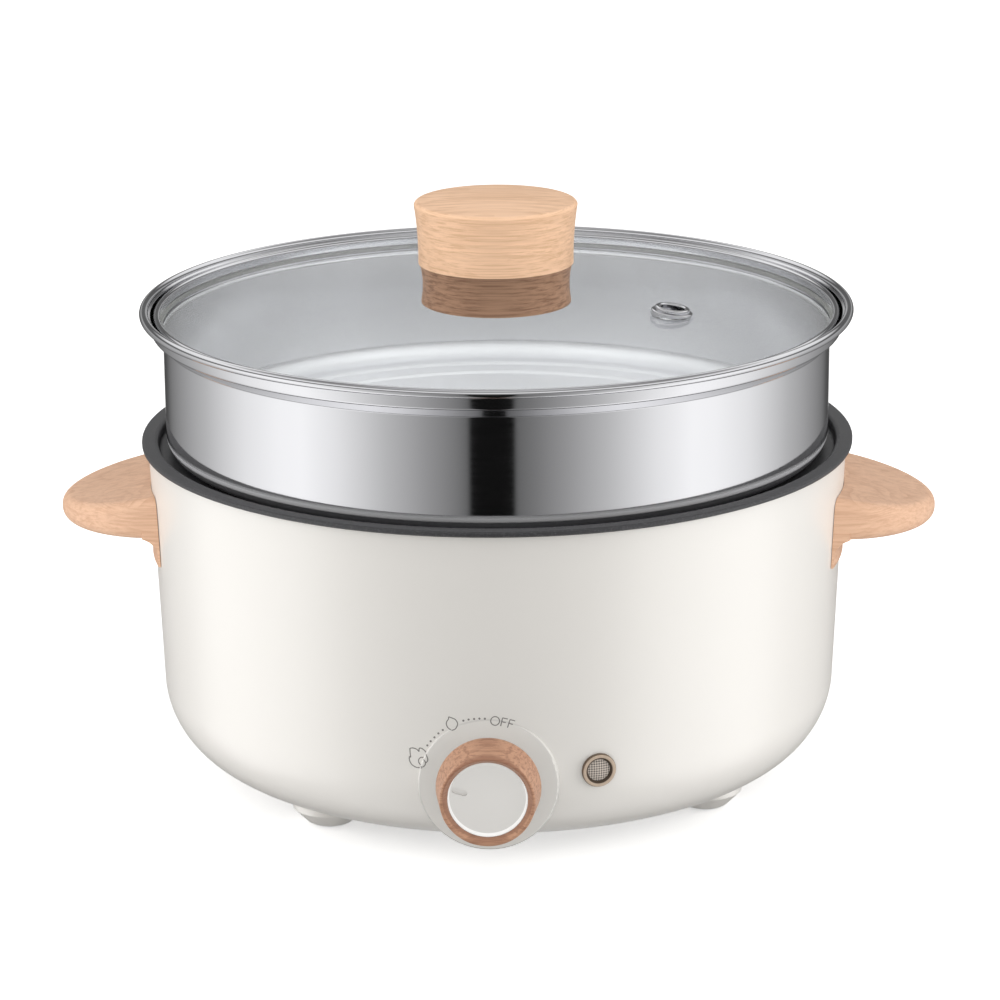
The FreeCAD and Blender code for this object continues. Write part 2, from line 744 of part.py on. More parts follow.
def shell_boss(body):
    """Boss for the control knob, turned about the knob's own axis."""
    lean = FreeCAD.Rotation(FreeCAD.Vector(0, 0, 1), 90 + tilt_of_wall())
    depth = f"-({wall_radius('boss_height')} - boss_sink)"
    spin(body, "boss", [
        corner("0", "0"),
        corner("boss_radius", "0", round="boss_edge_round"),
        corner("boss_radius", "-boss_depth"),
        corner("0", "-boss_depth"),
    ], plane="YZ_Plane", shift=(depth, "boss_height", "0"), turn=lean)


def make_outer_shell():
    body = new_body("outer_shell")
    shell_blank(body)
    shell_boss(body)
    pad = face_sketch(body, "rear_pad_outline", inlet_frame())
    draw_box(pad, "rear_pad_width", "rear_pad_tall", "rear_pad_corner")
    raise_up(body, pad, "rear_pad", "rear_pad_depth", inward=True)
    shell_feet(body)
    shell_cavity(body)
    shell_posts(body)
    shell_front(body)
    shell_rear(body)
    shell_handle_holes(body)


def make_foot_pads():
    """Rubber pads in the recesses of the four feet."""
    body = new_body("foot_pads")
    features = []
    for side in ("first", "second"):
        angle = f"foot_{side}_angle"
        shift = (f"foot_circle * cos({angle})", "0", f"-foot_circle * sin({angle})")
        features.append(spin(body, f"pad_{side}", [
            corner("0", "0"),
            corner("foot_pad_radius", "0", round="foot_pad_round"),
            corner("foot_pad_radius", "foot_pad_thickness"),
            corner("0", "foot_pad_thickness"),
        ], shift=shift))
    repeat(body, features, "all_pads", "2")


def make_base_cover():
    """Disc with a stiffening rib, radial vent slots and holes for its screws."""
    body = new_body("base_cover")
    spin(body, "disc", [
        corner("0", COVER_UNDERSIDE),
        corner("cover_radius", COVER_UNDERSIDE, round="0.6"),
        corner("cover_radius", COVER_TOP),
        corner("0", COVER_TOP),
    ])
    spin(body, "rib", [
        corner("cover_rib_radius", f"{COVER_UNDERSIDE} - cover_rib_drop"),
        corner("cover_rib_radius + cover_rib_width", f"{COVER_UNDERSIDE} - cover_rib_drop"),
        corner("cover_rib_radius + cover_rib_width", COVER_TOP),
        corner("cover_rib_radius", COVER_TOP),
    ])
    slot = new_sketch(body, "slot_outline", "XY_Plane", shift=("0", "0", COVER_TOP))
    middle = "vent_slot_inner + vent_slot_length / 2"
    draw_box(slot, "vent_slot_length", "vent_slot_width", "0.49 * vent_slot_width", middle)
    cut = sink(body, slot, "vent_slot", "cover_thickness + 1")
    repeat(body, [cut], "vent_slots", "vent_slot_count")
    hole = new_sketch(body, "screw_hole_outline", "XY_Plane", shift=("0", "0", COVER_TOP))
    radius = "cover_screw_radius + screw_hole_gap"
    draw_circle(hole, radius, across="cover_screw_circle")
    bore = sink(body, hole, "screw_hole", "cover_thickness + 1")
    repeat(body, [bore], "screw_holes", "cover_screw_count")


def pan_head_screw(body, name, radius, length, head_radius, head_height, **place):
    """A screw whose head lies under the line up = 0 of its sketch, shank upwards."""
    return spin(body, name, [
        corner("0", f"-({head_height})"),
        corner(head_radius, f"-({head_height})", round=f"0.4 * ({head_height})"),
        corner(head_radius, "0"),
        corner(radius, "0"),
        corner(radius, length),
        corner("0", length),
    ], **place)


def make_base_cover_screws():
    body = new_body("base_cover_screws")
    screw = pan_head_screw(
        body, "cover_screw", "cover_screw_radius", "cover_screw_length",
        "cover_screw_head_radius", "cover_screw_head_height",
        shift=("cover_screw_circle", COVER_UNDERSIDE, "0"))
    repeat(body, [screw], "all_screws", "cover_screw_count")


def make_inner_pot():
    """Drawn pot: floor, wall, ledge for the steamer, short mouth and flat rim."""
    body = new_body("inner_pot")
    outer = "pot_inner_radius + pot_wall"
    mouth = "pot_mouth_radius + pot_wall"
    widest_round = "0.45 * (pot_mouth_radius - pot_inner_radius)"
    ledge_round = f"min(pot_ledge_round; {widest_round})"
    under_round = f"min(pot_ledge_round + pot_wall; {widest_round})"
    spin(body, "pot", [
        corner("0", POT_UNDERSIDE),
        corner(outer, POT_UNDERSIDE, round="pot_corner_round + pot_wall"),
        corner(outer, f"{LEDGE} - pot_wall", round=ledge_round),
        corner(mouth, f"{LEDGE} - pot_wall", round=under_round),
        corner(mouth, RIM_UNDERSIDE),
        corner("pot_rim_radius", RIM_UNDERSIDE, round="pot_rim_edge_round"),
        corner("pot_rim_radius", RIM_TOP, round="pot_rim_edge_round"),
        corner("pot_mouth_radius", RIM_TOP, round="pot_mouth_round"),
        corner("pot_mouth_radius", LEDGE, round=ledge_round),
        corner("pot_inner_radius", LEDGE, round=ledge_round),
        corner("pot_inner_radius", "pot_floor_height", round="pot_corner_round"),
        corner("0", "pot_floor_height"),
    ])


def make_rim_seal():
    """Flat ring between the shell's upper edge and the rim of the pot."""
    body = new_body("rim_seal")
    spin(body, "seal", [
        corner(SEAL_INNER, "shell_top_height"),
        corner(f"{SEAL_INNER} + rim_seal_width", "shell_top_height"),
        corner(f"{SEAL_INNER} + rim_seal_width", RIM_UNDERSIDE),
        corner(SEAL_INNER, RIM_UNDERSIDE),
    ])


def handle_wing(body):
    """The ear: round in plan, flat below and sloping down to its tip above."""
    plan = new_sketch(body, "plan", "XY_Plane", shift=("0", "0", "handle_bottom_height"))
    centre = "(handle_reach - handle_half_width)"
    root = EAR_ROOT
    draw(plan, [
        corner(root, "-handle_half_width"),
        corner(centre, "-handle_half_width", arc="handle_half_width * 1.0000001", side=-1),
        corner(centre, "handle_half_width"),
        corner(root, "handle_half_width"),
    ])
    raise_up(body, plan, "ear", f"{EAR_BLANK_TOP} - handle_bottom_height")
    slope = new_sketch(body, "slope_outline")
    above = f"{EAR_BLANK_TOP} + 8"
    draw(slope, [
        corner(root, EAR_ROOT_TOP),
        corner("handle_reach + 1", f"handle_tip_height - {EAR_RISE}"),
        corner("handle_reach + 1", above),
        corner(root, above),
    ])
    return sink(body, slope, "ear_top", "3 * handle_half_width", both=True)


def is_ear_rim(edge):
    """Edges of the ear that run round its plan, above or below."""
    box = edge.BoundBox
    upright = box.ZLength > 0.5 * (value("handle_tip_height - handle_bottom_height"))
    across = box.YLength > 1.9 * value("handle_half_width")
    straight_side = abs(abs(edge.CenterOfMass.y) - value("handle_half_width")) < 0.01
    tip = edge.CenterOfMass.x > value("handle_reach - handle_half_width")
    return not upright and (straight_side or (across and tip))


def make_handle(label, turn):
    """Ear handle with a flange that follows the shell, trimmed to the shell's wall."""
    body = new_body(label)
    ear = handle_wing(body)
    thinnest = f"(min(handle_tip_height; {EAR_ROOT_TOP}) - handle_bottom_height)"
    edge_round = f"min(handle_edge_round; 0.49 * {thinnest})"
    round_edges(body, ear, "ear_edge", edge_round, is_ear_rim)
    low_radius = wall_radius("handle_flange_low")
    face = f"({low_radius} + handle_flange_thickness)"
    web_top = "(handle_bottom_height + 0.5)"
    spin(body, "flange", [
        corner("0.9 * shell_base_radius", "handle_flange_low"),
        corner(face, "handle_flange_low", round="handle_flange_round"),
        corner(face, f"{web_top} - handle_web_drop", arc="handle_web_round"),
        corner(f"{face} + handle_web_run", web_top),
        corner(f"{face} + handle_web_run", f"{web_top} + 3"),
        corner("0.9 * shell_base_radius", f"{web_top} + 3"),
    ], angle="handle_flange_angle")
    sides = new_sketch(body, "side_outline", "XY_Plane", shift=("0", "0", "handle_flange_low - 1"))
    for sign in (-1, 1):
        up = f"{sign} * (handle_half_width + 10)"
        draw_box(sides, "60", "20", across="handle_reach - 30", up=up)
    sink(body, sides, "sides", "40", outward=True)
    low, high = "(handle_flange_low - 5)", f"({EAR_BLANK_TOP} + 3)"
    spin(body, "seat", [
        corner("0", low),
        corner(f"{wall_radius(low)} + handle_seat_gap", low),
        corner(f"{wall_radius(high)} + handle_seat_gap", high),
        corner("0", high),
    ], cut=True)
    holes = new_sketch(body, "pilot_outline", "YZ_Plane", shift=("0", "0", "shell_base_radius - 5"))
    for sign in (-1, 1):
        across = f"{sign} * handle_screw_spacing / 2"
        draw_circle(holes, "handle_screw_radius + 0.1", across=across, up="handle_screw_height")
    sink(body, holes, "pilots", "handle_screw_length + 5", outward=True)
    stand(body, ("0", "0", "0"), FreeCAD.Rotation(FreeCAD.Vector(0, 0, 1), turn))


def make_handle_screws():
    """Two screws for each handle, driven from inside the shell."""
    body = new_body("handle_screws")
    head = f"({wall_radius('handle_screw_height')} - shell_wall - 0.9)"
    features = []
    for number, sign in (("one", -1), ("two", 1)):
        lean = FreeCAD.Rotation(FreeCAD.Vector(0, 0, 1), -90)
        shift = (f"{head} - 1.1", "handle_screw_height", f"{-sign} * handle_screw_spacing / 2")
        features.append(pan_head_screw(
            body, f"screw_{number}", "handle_screw_radius", "handle_screw_length",
            "handle_screw_head_radius", "handle_screw_head_height", shift=shift, turn=lean))
    repeat(body, features, "all_screws", "2")


def make_heating_plate():
    """Cast plate under the pot with a bore, a channel for the element and posts."""
    body = new_body("heating_plate")
    spin(body, "plate", [
        corner("heater_bore_radius", HEATER_UNDERSIDE),
        corner("heater_radius", HEATER_UNDERSIDE, round="heater_edge_round"),
        corner("heater_radius", POT_UNDERSIDE),
        corner("heater_bore_radius", POT_UNDERSIDE),
    ])
    channel = new_sketch(body, "channel_outline")
    radius = "element_radius + element_gap"
    draw_circle(channel, radius, across="element_circle", up=HEATER_UNDERSIDE)
    spin_sketch(body, channel, "channel", cut=True)
    post = new_sketch(body, "post_outline", "XY_Plane", shift=("0", "0", "shield_plateau_height"))
    draw_circle(post, "heater_post_radius", across="heater_post_circle")
    solid = raise_up(body, post, "post", f"{HEATER_UNDERSIDE} - shield_plateau_height + 1")
    hole = new_sketch(body, "post_hole", "XY_Plane", shift=("0", "0", "shield_plateau_height"))
    draw_circle(hole, "clamp_screw_radius + 0.1", across="heater_post_circle")
    bore = sink(body, hole, "post_bore", "clamp_screw_length", outward=True)
    repeat(body, [solid, bore], "posts", "heater_post_count")


def make_heating_element():
    """Sheathed element: most of a ring, with a terminal pin at each end."""
    body = new_body("heating_element")
    ring = new_sketch(body, "ring_outline")
    draw_circle(ring, "element_radius", across="element_circle", up=HEATER_UNDERSIDE)
    spin_sketch(body, ring, "ring", angle="element_sweep")
    for number, sign in (("one", -1), ("two", 1)):
        angle = f"({sign} * (element_sweep / 2 - 2))"
        drop = f"{HEATER_UNDERSIDE} - element_pin_drop"
        pin = new_sketch(body, f"pin_{number}_outline", "XY_Plane", shift=("0", "0", drop))
        across, up = f"element_circle * cos({angle})", f"element_circle * sin({angle})"
        draw_circle(pin, "element_pin_radius", across=across, up=up)
        raise_up(body, pin, f"pin_{number}", "element_pin_drop")
    turn = FreeCAD.Rotation(FreeCAD.Vector(0, 0, 1), -90)
    stand(body, ("0", "0", "0"), turn)


def make_heat_shield():
    """Pressed dish that clamps the heater down on the floor flange of the shell."""
    body = new_body("heat_shield")
    high = "shield_plateau_height"
    low = f"({FLANGE_TOP} + shield_sheet)"
    spin(body, "dish", [
        corner("shield_bore_radius", f"{high} - shield_sheet"),
        corner("shield_plateau_radius", f"{high} - shield_sheet", round="1"),
        corner("shield_slope_low_radius", f"{low} - shield_sheet", round="1"),
        corner("shield_flange_radius", f"{low} - shield_sheet"),
        corner("shield_flange_radius", low),
        corner("shield_slope_low_radius + 0.7", low, round="1"),
        corner("shield_plateau_radius + 0.5", high, round="1"),
        corner("shield_bore_radius", high),
    ])
    hole = new_sketch(body, "hole_outline", "XY_Plane", shift=("0", "0", high))
    draw_circle(hole, "clamp_screw_radius + screw_hole_gap", across="heater_post_circle")
    bore = sink(body, hole, "hole", "shield_sheet + 1")
    repeat(body, [bore], "holes", "heater_post_count")


def make_clamp_screws():
    body = new_body("clamp_screws")
    screw = pan_head_screw(
        body, "clamp_screw", "clamp_screw_radius", "clamp_screw_length",
        "clamp_screw_head_radius", "clamp_screw_head_height",
        shift=("heater_post_circle", "shield_plateau_height - shield_sheet", "0"))
    repeat(body, [screw], "all_screws", "heater_post_count")


def make_heat_limiter():
    """Snap-disc limiter: a metal cup near the pot, its flange and a moulded body."""
    body = new_body("heat_limiter")
    flange_low = f"({HEATER_UNDERSIDE} - limiter_flange_thickness)"
    body_low = f"({flange_low} - limiter_body_drop)"
    spin(body, "disc_body", [
        corner("0", body_low),
        corner("limiter_body_radius", body_low, round="0.8"),
        corner("limiter_body_radius", flange_low),
        corner("limiter_flange_radius", flange_low),
        corner("limiter_flange_radius", HEATER_UNDERSIDE),
        corner("limiter_cup_radius", HEATER_UNDERSIDE),
        corner("limiter_cup_radius", f"{POT_UNDERSIDE} - limiter_pot_gap", round="0.8"),
        corner("0", f"{POT_UNDERSIDE} - limiter_pot_gap"),
    ])
    tabs = new_sketch(body, "tab_outline", "XY_Plane", shift=("0", "0", body_low))
    for sign in (-1, 1):
        across = f"{sign} * 0.6 * limiter_body_radius"
        draw_box(tabs, "limiter_tab_thickness", "limiter_tab_width", across=across)
    raise_up(body, tabs, "tabs", "limiter_tab_drop", inward=True)


def fuse_spot():
    across = "fuse_circle * cos(fuse_angle)"
    up = "fuse_circle * sin(fuse_angle)"
    return (across, up, f"{HEATER_UNDERSIDE} - fuse_clip_tall / 2")


def make_thermal_fuse():
    """One-shot fuse: a small can with a lead at each end."""
    body = new_body("thermal_fuse")
    spin(body, "can", [
        corner("0", "-fuse_length / 2 - fuse_lead_length"),
        corner("fuse_lead_radius", "-fuse_length / 2 - fuse_lead_length"),
        corner("fuse_lead_radius", "-fuse_length / 2"),
        corner("fuse_radius", "-fuse_length / 2", round="0.4"),
        corner("fuse_radius", "fuse_length / 2", round="0.4"),
        corner("fuse_lead_radius", "fuse_length / 2"),
        corner("fuse_lead_radius", "fuse_length / 2 + fuse_lead_length"),
        corner("0", "fuse_length / 2 + fuse_lead_length"),
    ])
    stand(body, fuse_spot(), FreeCAD.Rotation(FreeCAD.Vector(0, 1, 0), 90))


def make_fuse_clip():
    """Block under the heating plate that holds the fuse."""
    body = new_body("fuse_clip")
    block = new_sketch(body, "block_outline", "YZ_Plane")
    draw_box(block, "fuse_clip_width", "fuse_clip_tall", "0.8")
    draw_circle(block, "fuse_radius + 0.1")
    raise_up(body, block, "block", "fuse_clip_long", both=True)
    stand(body, fuse_spot())


def make_control_thermostat():
    """Moulded regulator with a bore for the spindle and three tabs at its back."""
    body = new_body("control_thermostat")
    face = "-(boss_face_thickness + thermostat_bracket_sheet)"
    block = new_sketch(body, "block_outline", "XY_Plane", shift=("0", "0", face))
    draw_box(block, "thermostat_width", "thermostat_tall", "thermostat_edge_round")
    raise_up(body, block, "block", "thermostat_deep", inward=True)
    bore = new_sketch(body, "bore_outline", "XY_Plane", shift=("0", "0", face))
    draw_circle(bore, "spindle_radius + spindle_fit")
    depth = "spindle_depth - boss_face_thickness - thermostat_bracket_sheet + 0.3"
    sink(body, bore, "bore", depth)
    back = f"{face} - thermostat_deep"
    tabs = new_sketch(body, "tab_outline", "XY_Plane", shift=("0", "0", back))
    for step in (-1, 0, 1):
        draw_box(tabs, "4.8", "0.8", across=f"{step} * 9", up="-thermostat_tall / 4")
    raise_up(body, tabs, "tabs", "thermostat_tab_drop", inward=True)
    screws = new_sketch(body, "screw_outline", "XY_Plane", shift=("0", "0", face))
    for sign in (-1, 1):
        across = f"{sign} * thermostat_screw_spacing / 2"
        draw_circle(screws, "thermostat_screw_radius + 0.1", across=across)
    sink(body, screws, "screw_holes", "5")
    stand(body, *knob_frame())


def make_thermostat_bracket():
    body = new_body("thermostat_bracket")
    sketch = new_sketch(body, "outline", "XY_Plane", shift=("0", "0", "-boss_face_thickness"))
    draw_box(sketch, "thermostat_bracket_width", "thermostat_bracket_tall", "3")
    draw_circle(sketch, "spindle_hole_radius")
    for sign in (-1, 1):
        across = f"{sign} * thermostat_screw_spacing / 2"
        draw_circle(sketch, "thermostat_screw_radius + 0.1", across=across)
    raise_up(body, sketch, "sheet", "thermostat_bracket_sheet", inward=True)
    stand(body, *knob_frame())


def make_thermostat_screws():
    """Two screws through the face of the boss, under the skirt of the knob."""
    body = new_body("thermostat_screws")
    reach = "boss_face_thickness + thermostat_bracket_sheet + 4"
    turn = FreeCAD.Rotation(FreeCAD.Vector(0, 0, 1), 180)
    for number, sign in (("one", -1), ("two", 1)):
        shift = (f"{sign} * thermostat_screw_spacing / 2", "0.05", "0")
        pan_head_screw(
            body, f"screw_{number}", "thermostat_screw_radius", reach,
            "thermostat_screw_head_radius", "thermostat_screw_head_height",
            shift=shift, turn=turn)
    stand(body, *knob_frame())


def make_control_spindle():
    """Spindle with a flat where the knob drives it."""
    body = new_body("control_spindle")
    top = "(knob_web_top - 0.4)"
    spin(body, "rod", [
        corner("0", "-spindle_depth"),
        corner("spindle_radius", "-spindle_depth"),
        corner("spindle_radius", top, round="0.3"),
        corner("0", top),
    ])
    flat = new_sketch(body, "flat_outline", "XY_Plane", shift=("0", "0", top))
    draw_box(flat, "3 * spindle_radius", "2", up="spindle_flat + 1")
    sink(body, flat, "flat", f"{top} - knob_hub_low - 1")
    stand(body, *knob_frame())


def make_control_knob():
    """Turned ring with a skirt, a hub with a driving flat and a bevelled seat."""
    body = new_body("control_knob")
    seat = "(disc_radius + disc_fit)"
    spin(body, "ring", [
        corner("spindle_radius + 0.1", "knob_hub_low"),
        corner("knob_hub_radius", "knob_hub_low"),
        corner("knob_hub_radius", "knob_web_low"),
        corner("knob_skirt_bore", "knob_web_low"),
        corner("knob_skirt_bore", "knob_skirt_gap"),
        corner("knob_skirt_radius", "knob_skirt_gap", round="0.4"),
        corner("knob_wide_radius", "knob_wide_height"),
        corner("knob_front_radius", "knob_front_height", round="knob_front_round"),
        corner("knob_bevel_radius", "knob_front_height"),
        corner(seat, "disc_top - 0.2"),
        corner(seat, "knob_web_top"),
        corner("spindle_radius + 0.1", "knob_web_top"),
    ])
    key = new_sketch(body, "key_outline", "XY_Plane", shift=("0", "0", "knob_web_top"))
    low, high = "(spindle_flat + 0.1)", "(spindle_radius + 1)"
    draw_box(key, "spindle_radius", f"{high} - {low}", up=f"({low} + {high}) / 2")
    raise_up(body, key, "key", "knob_web_top - knob_hub_low - 1.5", inward=True)
    stand(body, *knob_frame())


def make_knob_disc():
    """Inset disc with a pointer pressed into its face."""
    body = new_body("knob_disc")
    spin(body, "disc", [
        corner("0", "knob_web_top"),
        corner("disc_radius", "knob_web_top"),
        corner("disc_radius", "disc_top", round="disc_edge_round"),
        corner("0", "disc_top"),
    ])
    turn = FreeCAD.Rotation(FreeCAD.Vector(0, 0, 1), value("pointer_angle"))
    slot = new_sketch(body, "pointer_outline", "XY_Plane", shift=("0", "0", "disc_top"), turn=turn)
    long = "pointer_far - pointer_near + 2 * pointer_radius"
    middle = "(pointer_far + pointer_near) / 2"
    draw_box(slot, long, "2 * pointer_radius", "0.98 * pointer_radius", across=middle)
    sink(body, slot, "pointer", "pointer_depth")
    stand(body, *knob_frame())


def make_lamp_bezel():
    """Flanged barrel through the wall."""
    body = new_body("lamp_bezel")
    bore = "(lamp_lens_radius + lamp_lens_fit)"
    spin(body, "bezel", [
        corner(bore, "-lamp_barrel_length"),
        corner("lamp_barrel_radius", "-lamp_barrel_length"),
        corner("lamp_barrel_radius", "0.02"),
        corner("lamp_flange_radius", "0.02"),
        corner("lamp_flange_radius", "lamp_flange_height", round="lamp_flange_round"),
        corner(f"{bore} + 0.9", "lamp_flange_height"),
        corner(bore, "lamp_flange_height - 0.8"),
    ])
    stand(body, *lamp_frame())


def make_lamp_lens():
    body = new_body("lamp_lens")
    low = "(lamp_lens_top - lamp_lens_length)"
    spin(body, "lens", [
        corner("0", low),
        corner("lamp_lens_radius", low),
        corner("lamp_lens_radius", "lamp_lens_top - 0.7", arc="3.2 * lamp_lens_radius"),
        corner("0", "lamp_lens_top"),
    ])
    stand(body, *lamp_frame())


def make_lamp_bulb():
    body = new_body("lamp_bulb")
    top = "(lamp_lens_top - lamp_lens_length)"
    spin(body, "bulb", [
        corner("0", f"{top} - lamp_bulb_length"),
        corner("lamp_bulb_radius", f"{top} - lamp_bulb_length", round="1"),
        corner("lamp_bulb_radius", top),
        corner("0", top),
    ])
    stand(body, *lamp_frame())


def make_lamp_nut():
    """Push-on nut that holds the bezel from behind the wall."""
    body = new_body("lamp_nut")
    front = "-(shell_wall + lamp_nut_gap)"
    sketch = new_sketch(body, "outline", "XY_Plane", shift=("0", "0", front))
    draw_circle(sketch, "lamp_nut_radius")
    draw_circle(sketch, "lamp_barrel_radius + 0.05")
    raise_up(body, sketch, "ring", "lamp_nut_thickness", inward=True)
    stand(body, *lamp_frame())


def make_inlet_housing():
    """Flange and box of the inlet, open at the back of the pot."""
    body = new_body("inlet_housing")
    flange = new_sketch(body, "flange_outline", "XY_Plane", shift=("0", "0", "0.02"))
    draw_box(flange, "inlet_flange_width", "inlet_flange_tall", "inlet_corner + 1")
    raise_up(body, flange, "flange", "inlet_flange_thickness")
    box = new_sketch(body, "box_outline", "XY_Plane", shift=("0", "0", "0.5"))
    draw_box(box, "inlet_body_width", "inlet_body_tall", "inlet_corner")
    raise_up(body, box, "box", "inlet_body_depth + 0.5", inward=True)
    front = "inlet_flange_thickness + 0.02"
    mouth = new_sketch(body, "mouth_outline", "XY_Plane", shift=("0", "0", front))
    draw_box(mouth, "inlet_cavity_width", "inlet_cavity_tall", "inlet_corner - 1")
    sink(body, mouth, "mouth", "inlet_cavity_depth + inlet_flange_thickness")
    pins = new_sketch(body, "pin_outline", "XY_Plane", shift=("0", "0", "-inlet_body_depth"))
    inlet_pin_outlines(pins)
    sink(body, pins, "pin_holes", "inlet_body_depth", outward=True)
    holes = new_sketch(body, "screw_outline", "XY_Plane", shift=("0", "0", front))
    for sign in (-1, 1):
        radius = "inlet_screw_radius + screw_hole_gap"
        draw_circle(holes, radius, across=f"{sign} * inlet_screw_spacing / 2")
    sink(body, holes, "screw_holes", "inlet_flange_thickness + 1")
    stand(body, *inlet_frame())


def inlet_pin_outlines(sketch):
    """Line and neutral side by side, with the earth pin between and below them."""
    for step in (-1, 1):
        across = f"{step} * inlet_pin_spacing / 2"
        draw_box(sketch, "inlet_pin_width", "inlet_pin_tall", across=across, up="inlet_pin_rise")
    draw_box(sketch, "inlet_pin_width", "inlet_pin_tall", up="inlet_earth_rise")


def make_inlet_pins():
    body = new_body("inlet_pins")
    back = "-(inlet_body_depth + inlet_tab_length)"
    sketch = new_sketch(body, "pin_outline", "XY_Plane", shift=("0", "0", back))
    inlet_pin_outlines(sketch)
    raise_up(body, sketch, "pins", "inlet_body_depth + inlet_tab_length - inlet_pin_recess")
    stand(body, *inlet_frame())


def make_inlet_screws():
    body = new_body("inlet_screws")
    turn = FreeCAD.Rotation(FreeCAD.Vector(0, 0, 1), 180)
    for number, sign in (("one", -1), ("two", 1)):
        shift = (f"{sign} * inlet_screw_spacing / 2", "inlet_flange_thickness + 0.05", "0")
        pan_head_screw(
            body, f"screw_{number}", "inlet_screw_radius", "inlet_screw_length",
            "inlet_screw_head_radius", "inlet_screw_head_height", shift=shift, turn=turn)
    stand(body, *inlet_frame())


def make_terminal_block():
    """Three-pole connector on the floor of the shell."""
    body = new_body("terminal_block")
    block = new_sketch(body, "block_outline", "XY_Plane")
    draw_box(block, "terminal_width", "terminal_depth", "1")
    raise_up(body, block, "block", "terminal_tall")
    bores = new_sketch(body, "bore_outline", "XZ_Plane")
    screws = new_sketch(body, "screw_outline", "XY_Plane", shift=("0", "0", "terminal_tall"))
    for step in (-1, 0, 1):
        across = f"{step} * terminal_pitch"
        draw_circle(bores, "terminal_hole_radius", across=across, up="0.45 * terminal_tall")
        draw_circle(screws, "terminal_screw_radius", across=across)
    sink(body, bores, "bores", "2 * terminal_depth", both=True)
    sink(body, screws, "screw_wells", "0.5 * terminal_tall")
    spot = ("terminal_circle * cos(terminal_angle)", "terminal_circle * sin(terminal_angle)")
    turn = FreeCAD.Rotation(FreeCAD.Vector(0, 0, 1), value("terminal_angle") + 90)
    stand(body, (*spot, f"{INNER_FLOOR} + 0.05"), turn)


def make_steamer_pan():
    """Drawn pan: perforated floor, wall, conical shoulder for the lid, collar and lip."""
    body = new_body("steamer_pan")
    inner = "(pan_radius - pan_sheet)"
    floor = f"({LEDGE} + pan_sheet)"
    bead = "(pan_lip_radius - pan_lip_bead)"
    collar = "(pan_collar_radius - pan_sheet)"
    collar_top = "(pan_collar_top_radius - pan_sheet)"
    high = f"{shoulder(collar, 'pan_sheet')}"
    spin(body, "pan", [
        corner("0", LEDGE),
        corner("pan_radius", LEDGE, round="pan_corner_round"),
        corner("pan_radius", "pan_shoulder_low", round="pan_shoulder_round"),
        corner("pan_collar_radius", "pan_shoulder_high", round="pan_shoulder_round + pan_sheet"),
        corner("pan_collar_top_radius", "pan_lip_height - 1"),
        corner(f"{bead} - 0.2", "pan_lip_height - 1"),
        corner(f"{bead} - 0.2", "pan_lip_height + 1"),
        corner(collar_top, "pan_lip_height - 0.6", round="0.4"),
        corner(collar, high, round="pan_shoulder_round"),
        corner(inner, shoulder(inner, "pan_sheet"), round="pan_shoulder_round + pan_sheet"),
        corner(inner, floor, round="pan_corner_round - pan_sheet"),
        corner("0", floor),
    ])
    lip = new_sketch(body, "lip_outline")
    draw_circle(lip, "pan_lip_bead", across=bead, up="pan_lip_height")
    spin_sketch(body, lip, "lip")
    for name in ("pan_emboss_radius", "pan_outer_emboss_radius"):
        emboss_ring(body, name, floor)
    perforate(body, floor)


def emboss_ring(body, radius, floor):
    """A low ridge round the floor, with the matching hollow underneath."""
    half = "pan_emboss_width / 2"
    name = radius.replace("_radius", "")
    spin(body, f"{name}_ridge", [
        corner(f"{radius} - {half}", f"{floor} - 0.1"),
        corner(f"{radius} + {half}", f"{floor} - 0.1"),
        corner(f"{radius} + 0.2 * pan_emboss_width", f"{floor} + pan_emboss_rise"),
        corner(f"{radius} - 0.2 * pan_emboss_width", f"{floor} + pan_emboss_rise"),
    ])
    narrow = f"({half} - 0.5)"
    spin(body, f"{name}_hollow", [
        corner(f"{radius} - {narrow}", f"{LEDGE} - 1"),
        corner(f"{radius} + {narrow}", f"{LEDGE} - 1"),
        corner(f"{radius} + {narrow}", LEDGE),
        corner(f"{radius} + 0.1 * pan_emboss_width", f"{LEDGE} + pan_emboss_rise"),
        corner(f"{radius} - 0.1 * pan_emboss_width", f"{LEDGE} + pan_emboss_rise"),
        corner(f"{radius} - {narrow}", LEDGE),
    ], cut=True)


def perforate(body, floor):
    """Steam holes: one in the middle and rings of six, twelve and eighteen."""
    middle = new_sketch(body, "hole_middle_outline", "XY_Plane", shift=("0", "0", floor))
    draw_circle(middle, "steam_hole_radius")
    sink(body, middle, "hole_middle", "2 * pan_sheet")
    for ring in range(1, int(value("steam_ring_count")) + 1):
        name = f"hole_ring_{ring}"
        sketch = new_sketch(body, f"{name}_outline", "XY_Plane", shift=("0", "0", floor))
        draw_circle(sketch, "steam_hole_radius", across=f"{ring} * steam_ring_step")
        hole = sink(body, sketch, f"{name}_first", "2 * pan_sheet")
        repeat(body, [hole], name, f"{ring} * steam_hole_step")


def make_lid_glass():
    """Shallow dome with a hole for the knob's screw and one for the vent."""
    body = new_body("lid_glass")
    spin(body, "dome", [
        corner("0", GLASS_UNDERSIDE, arc="crown", side=1),
        corner("glass_radius", GLASS_EDGE_LOW),
        corner("glass_radius", GLASS_EDGE_TOP, arc="crown", side=-1),
        corner("0", "glass_crown_height"),
    ])
    middle = new_sketch(body, "screw_hole_outline", "XY_Plane", shift=("0", "0", GLASS_UNDERSIDE))
    draw_circle(middle, "grip_screw_radius + grip_screw_gap")
    sink(body, middle, "screw_hole", "3 * glass_thickness", both=True)
    sketch = new_sketch(body, "vent_hole_outline", "XY_Plane", shift=("0", "0", GLASS_UNDERSIDE))
    draw_circle(sketch, "vent_tube_radius + vent_hole_gap", across="vent_x", up="vent_y")
    sink(body, sketch, "vent_hole", "4 * glass_thickness", both=True)


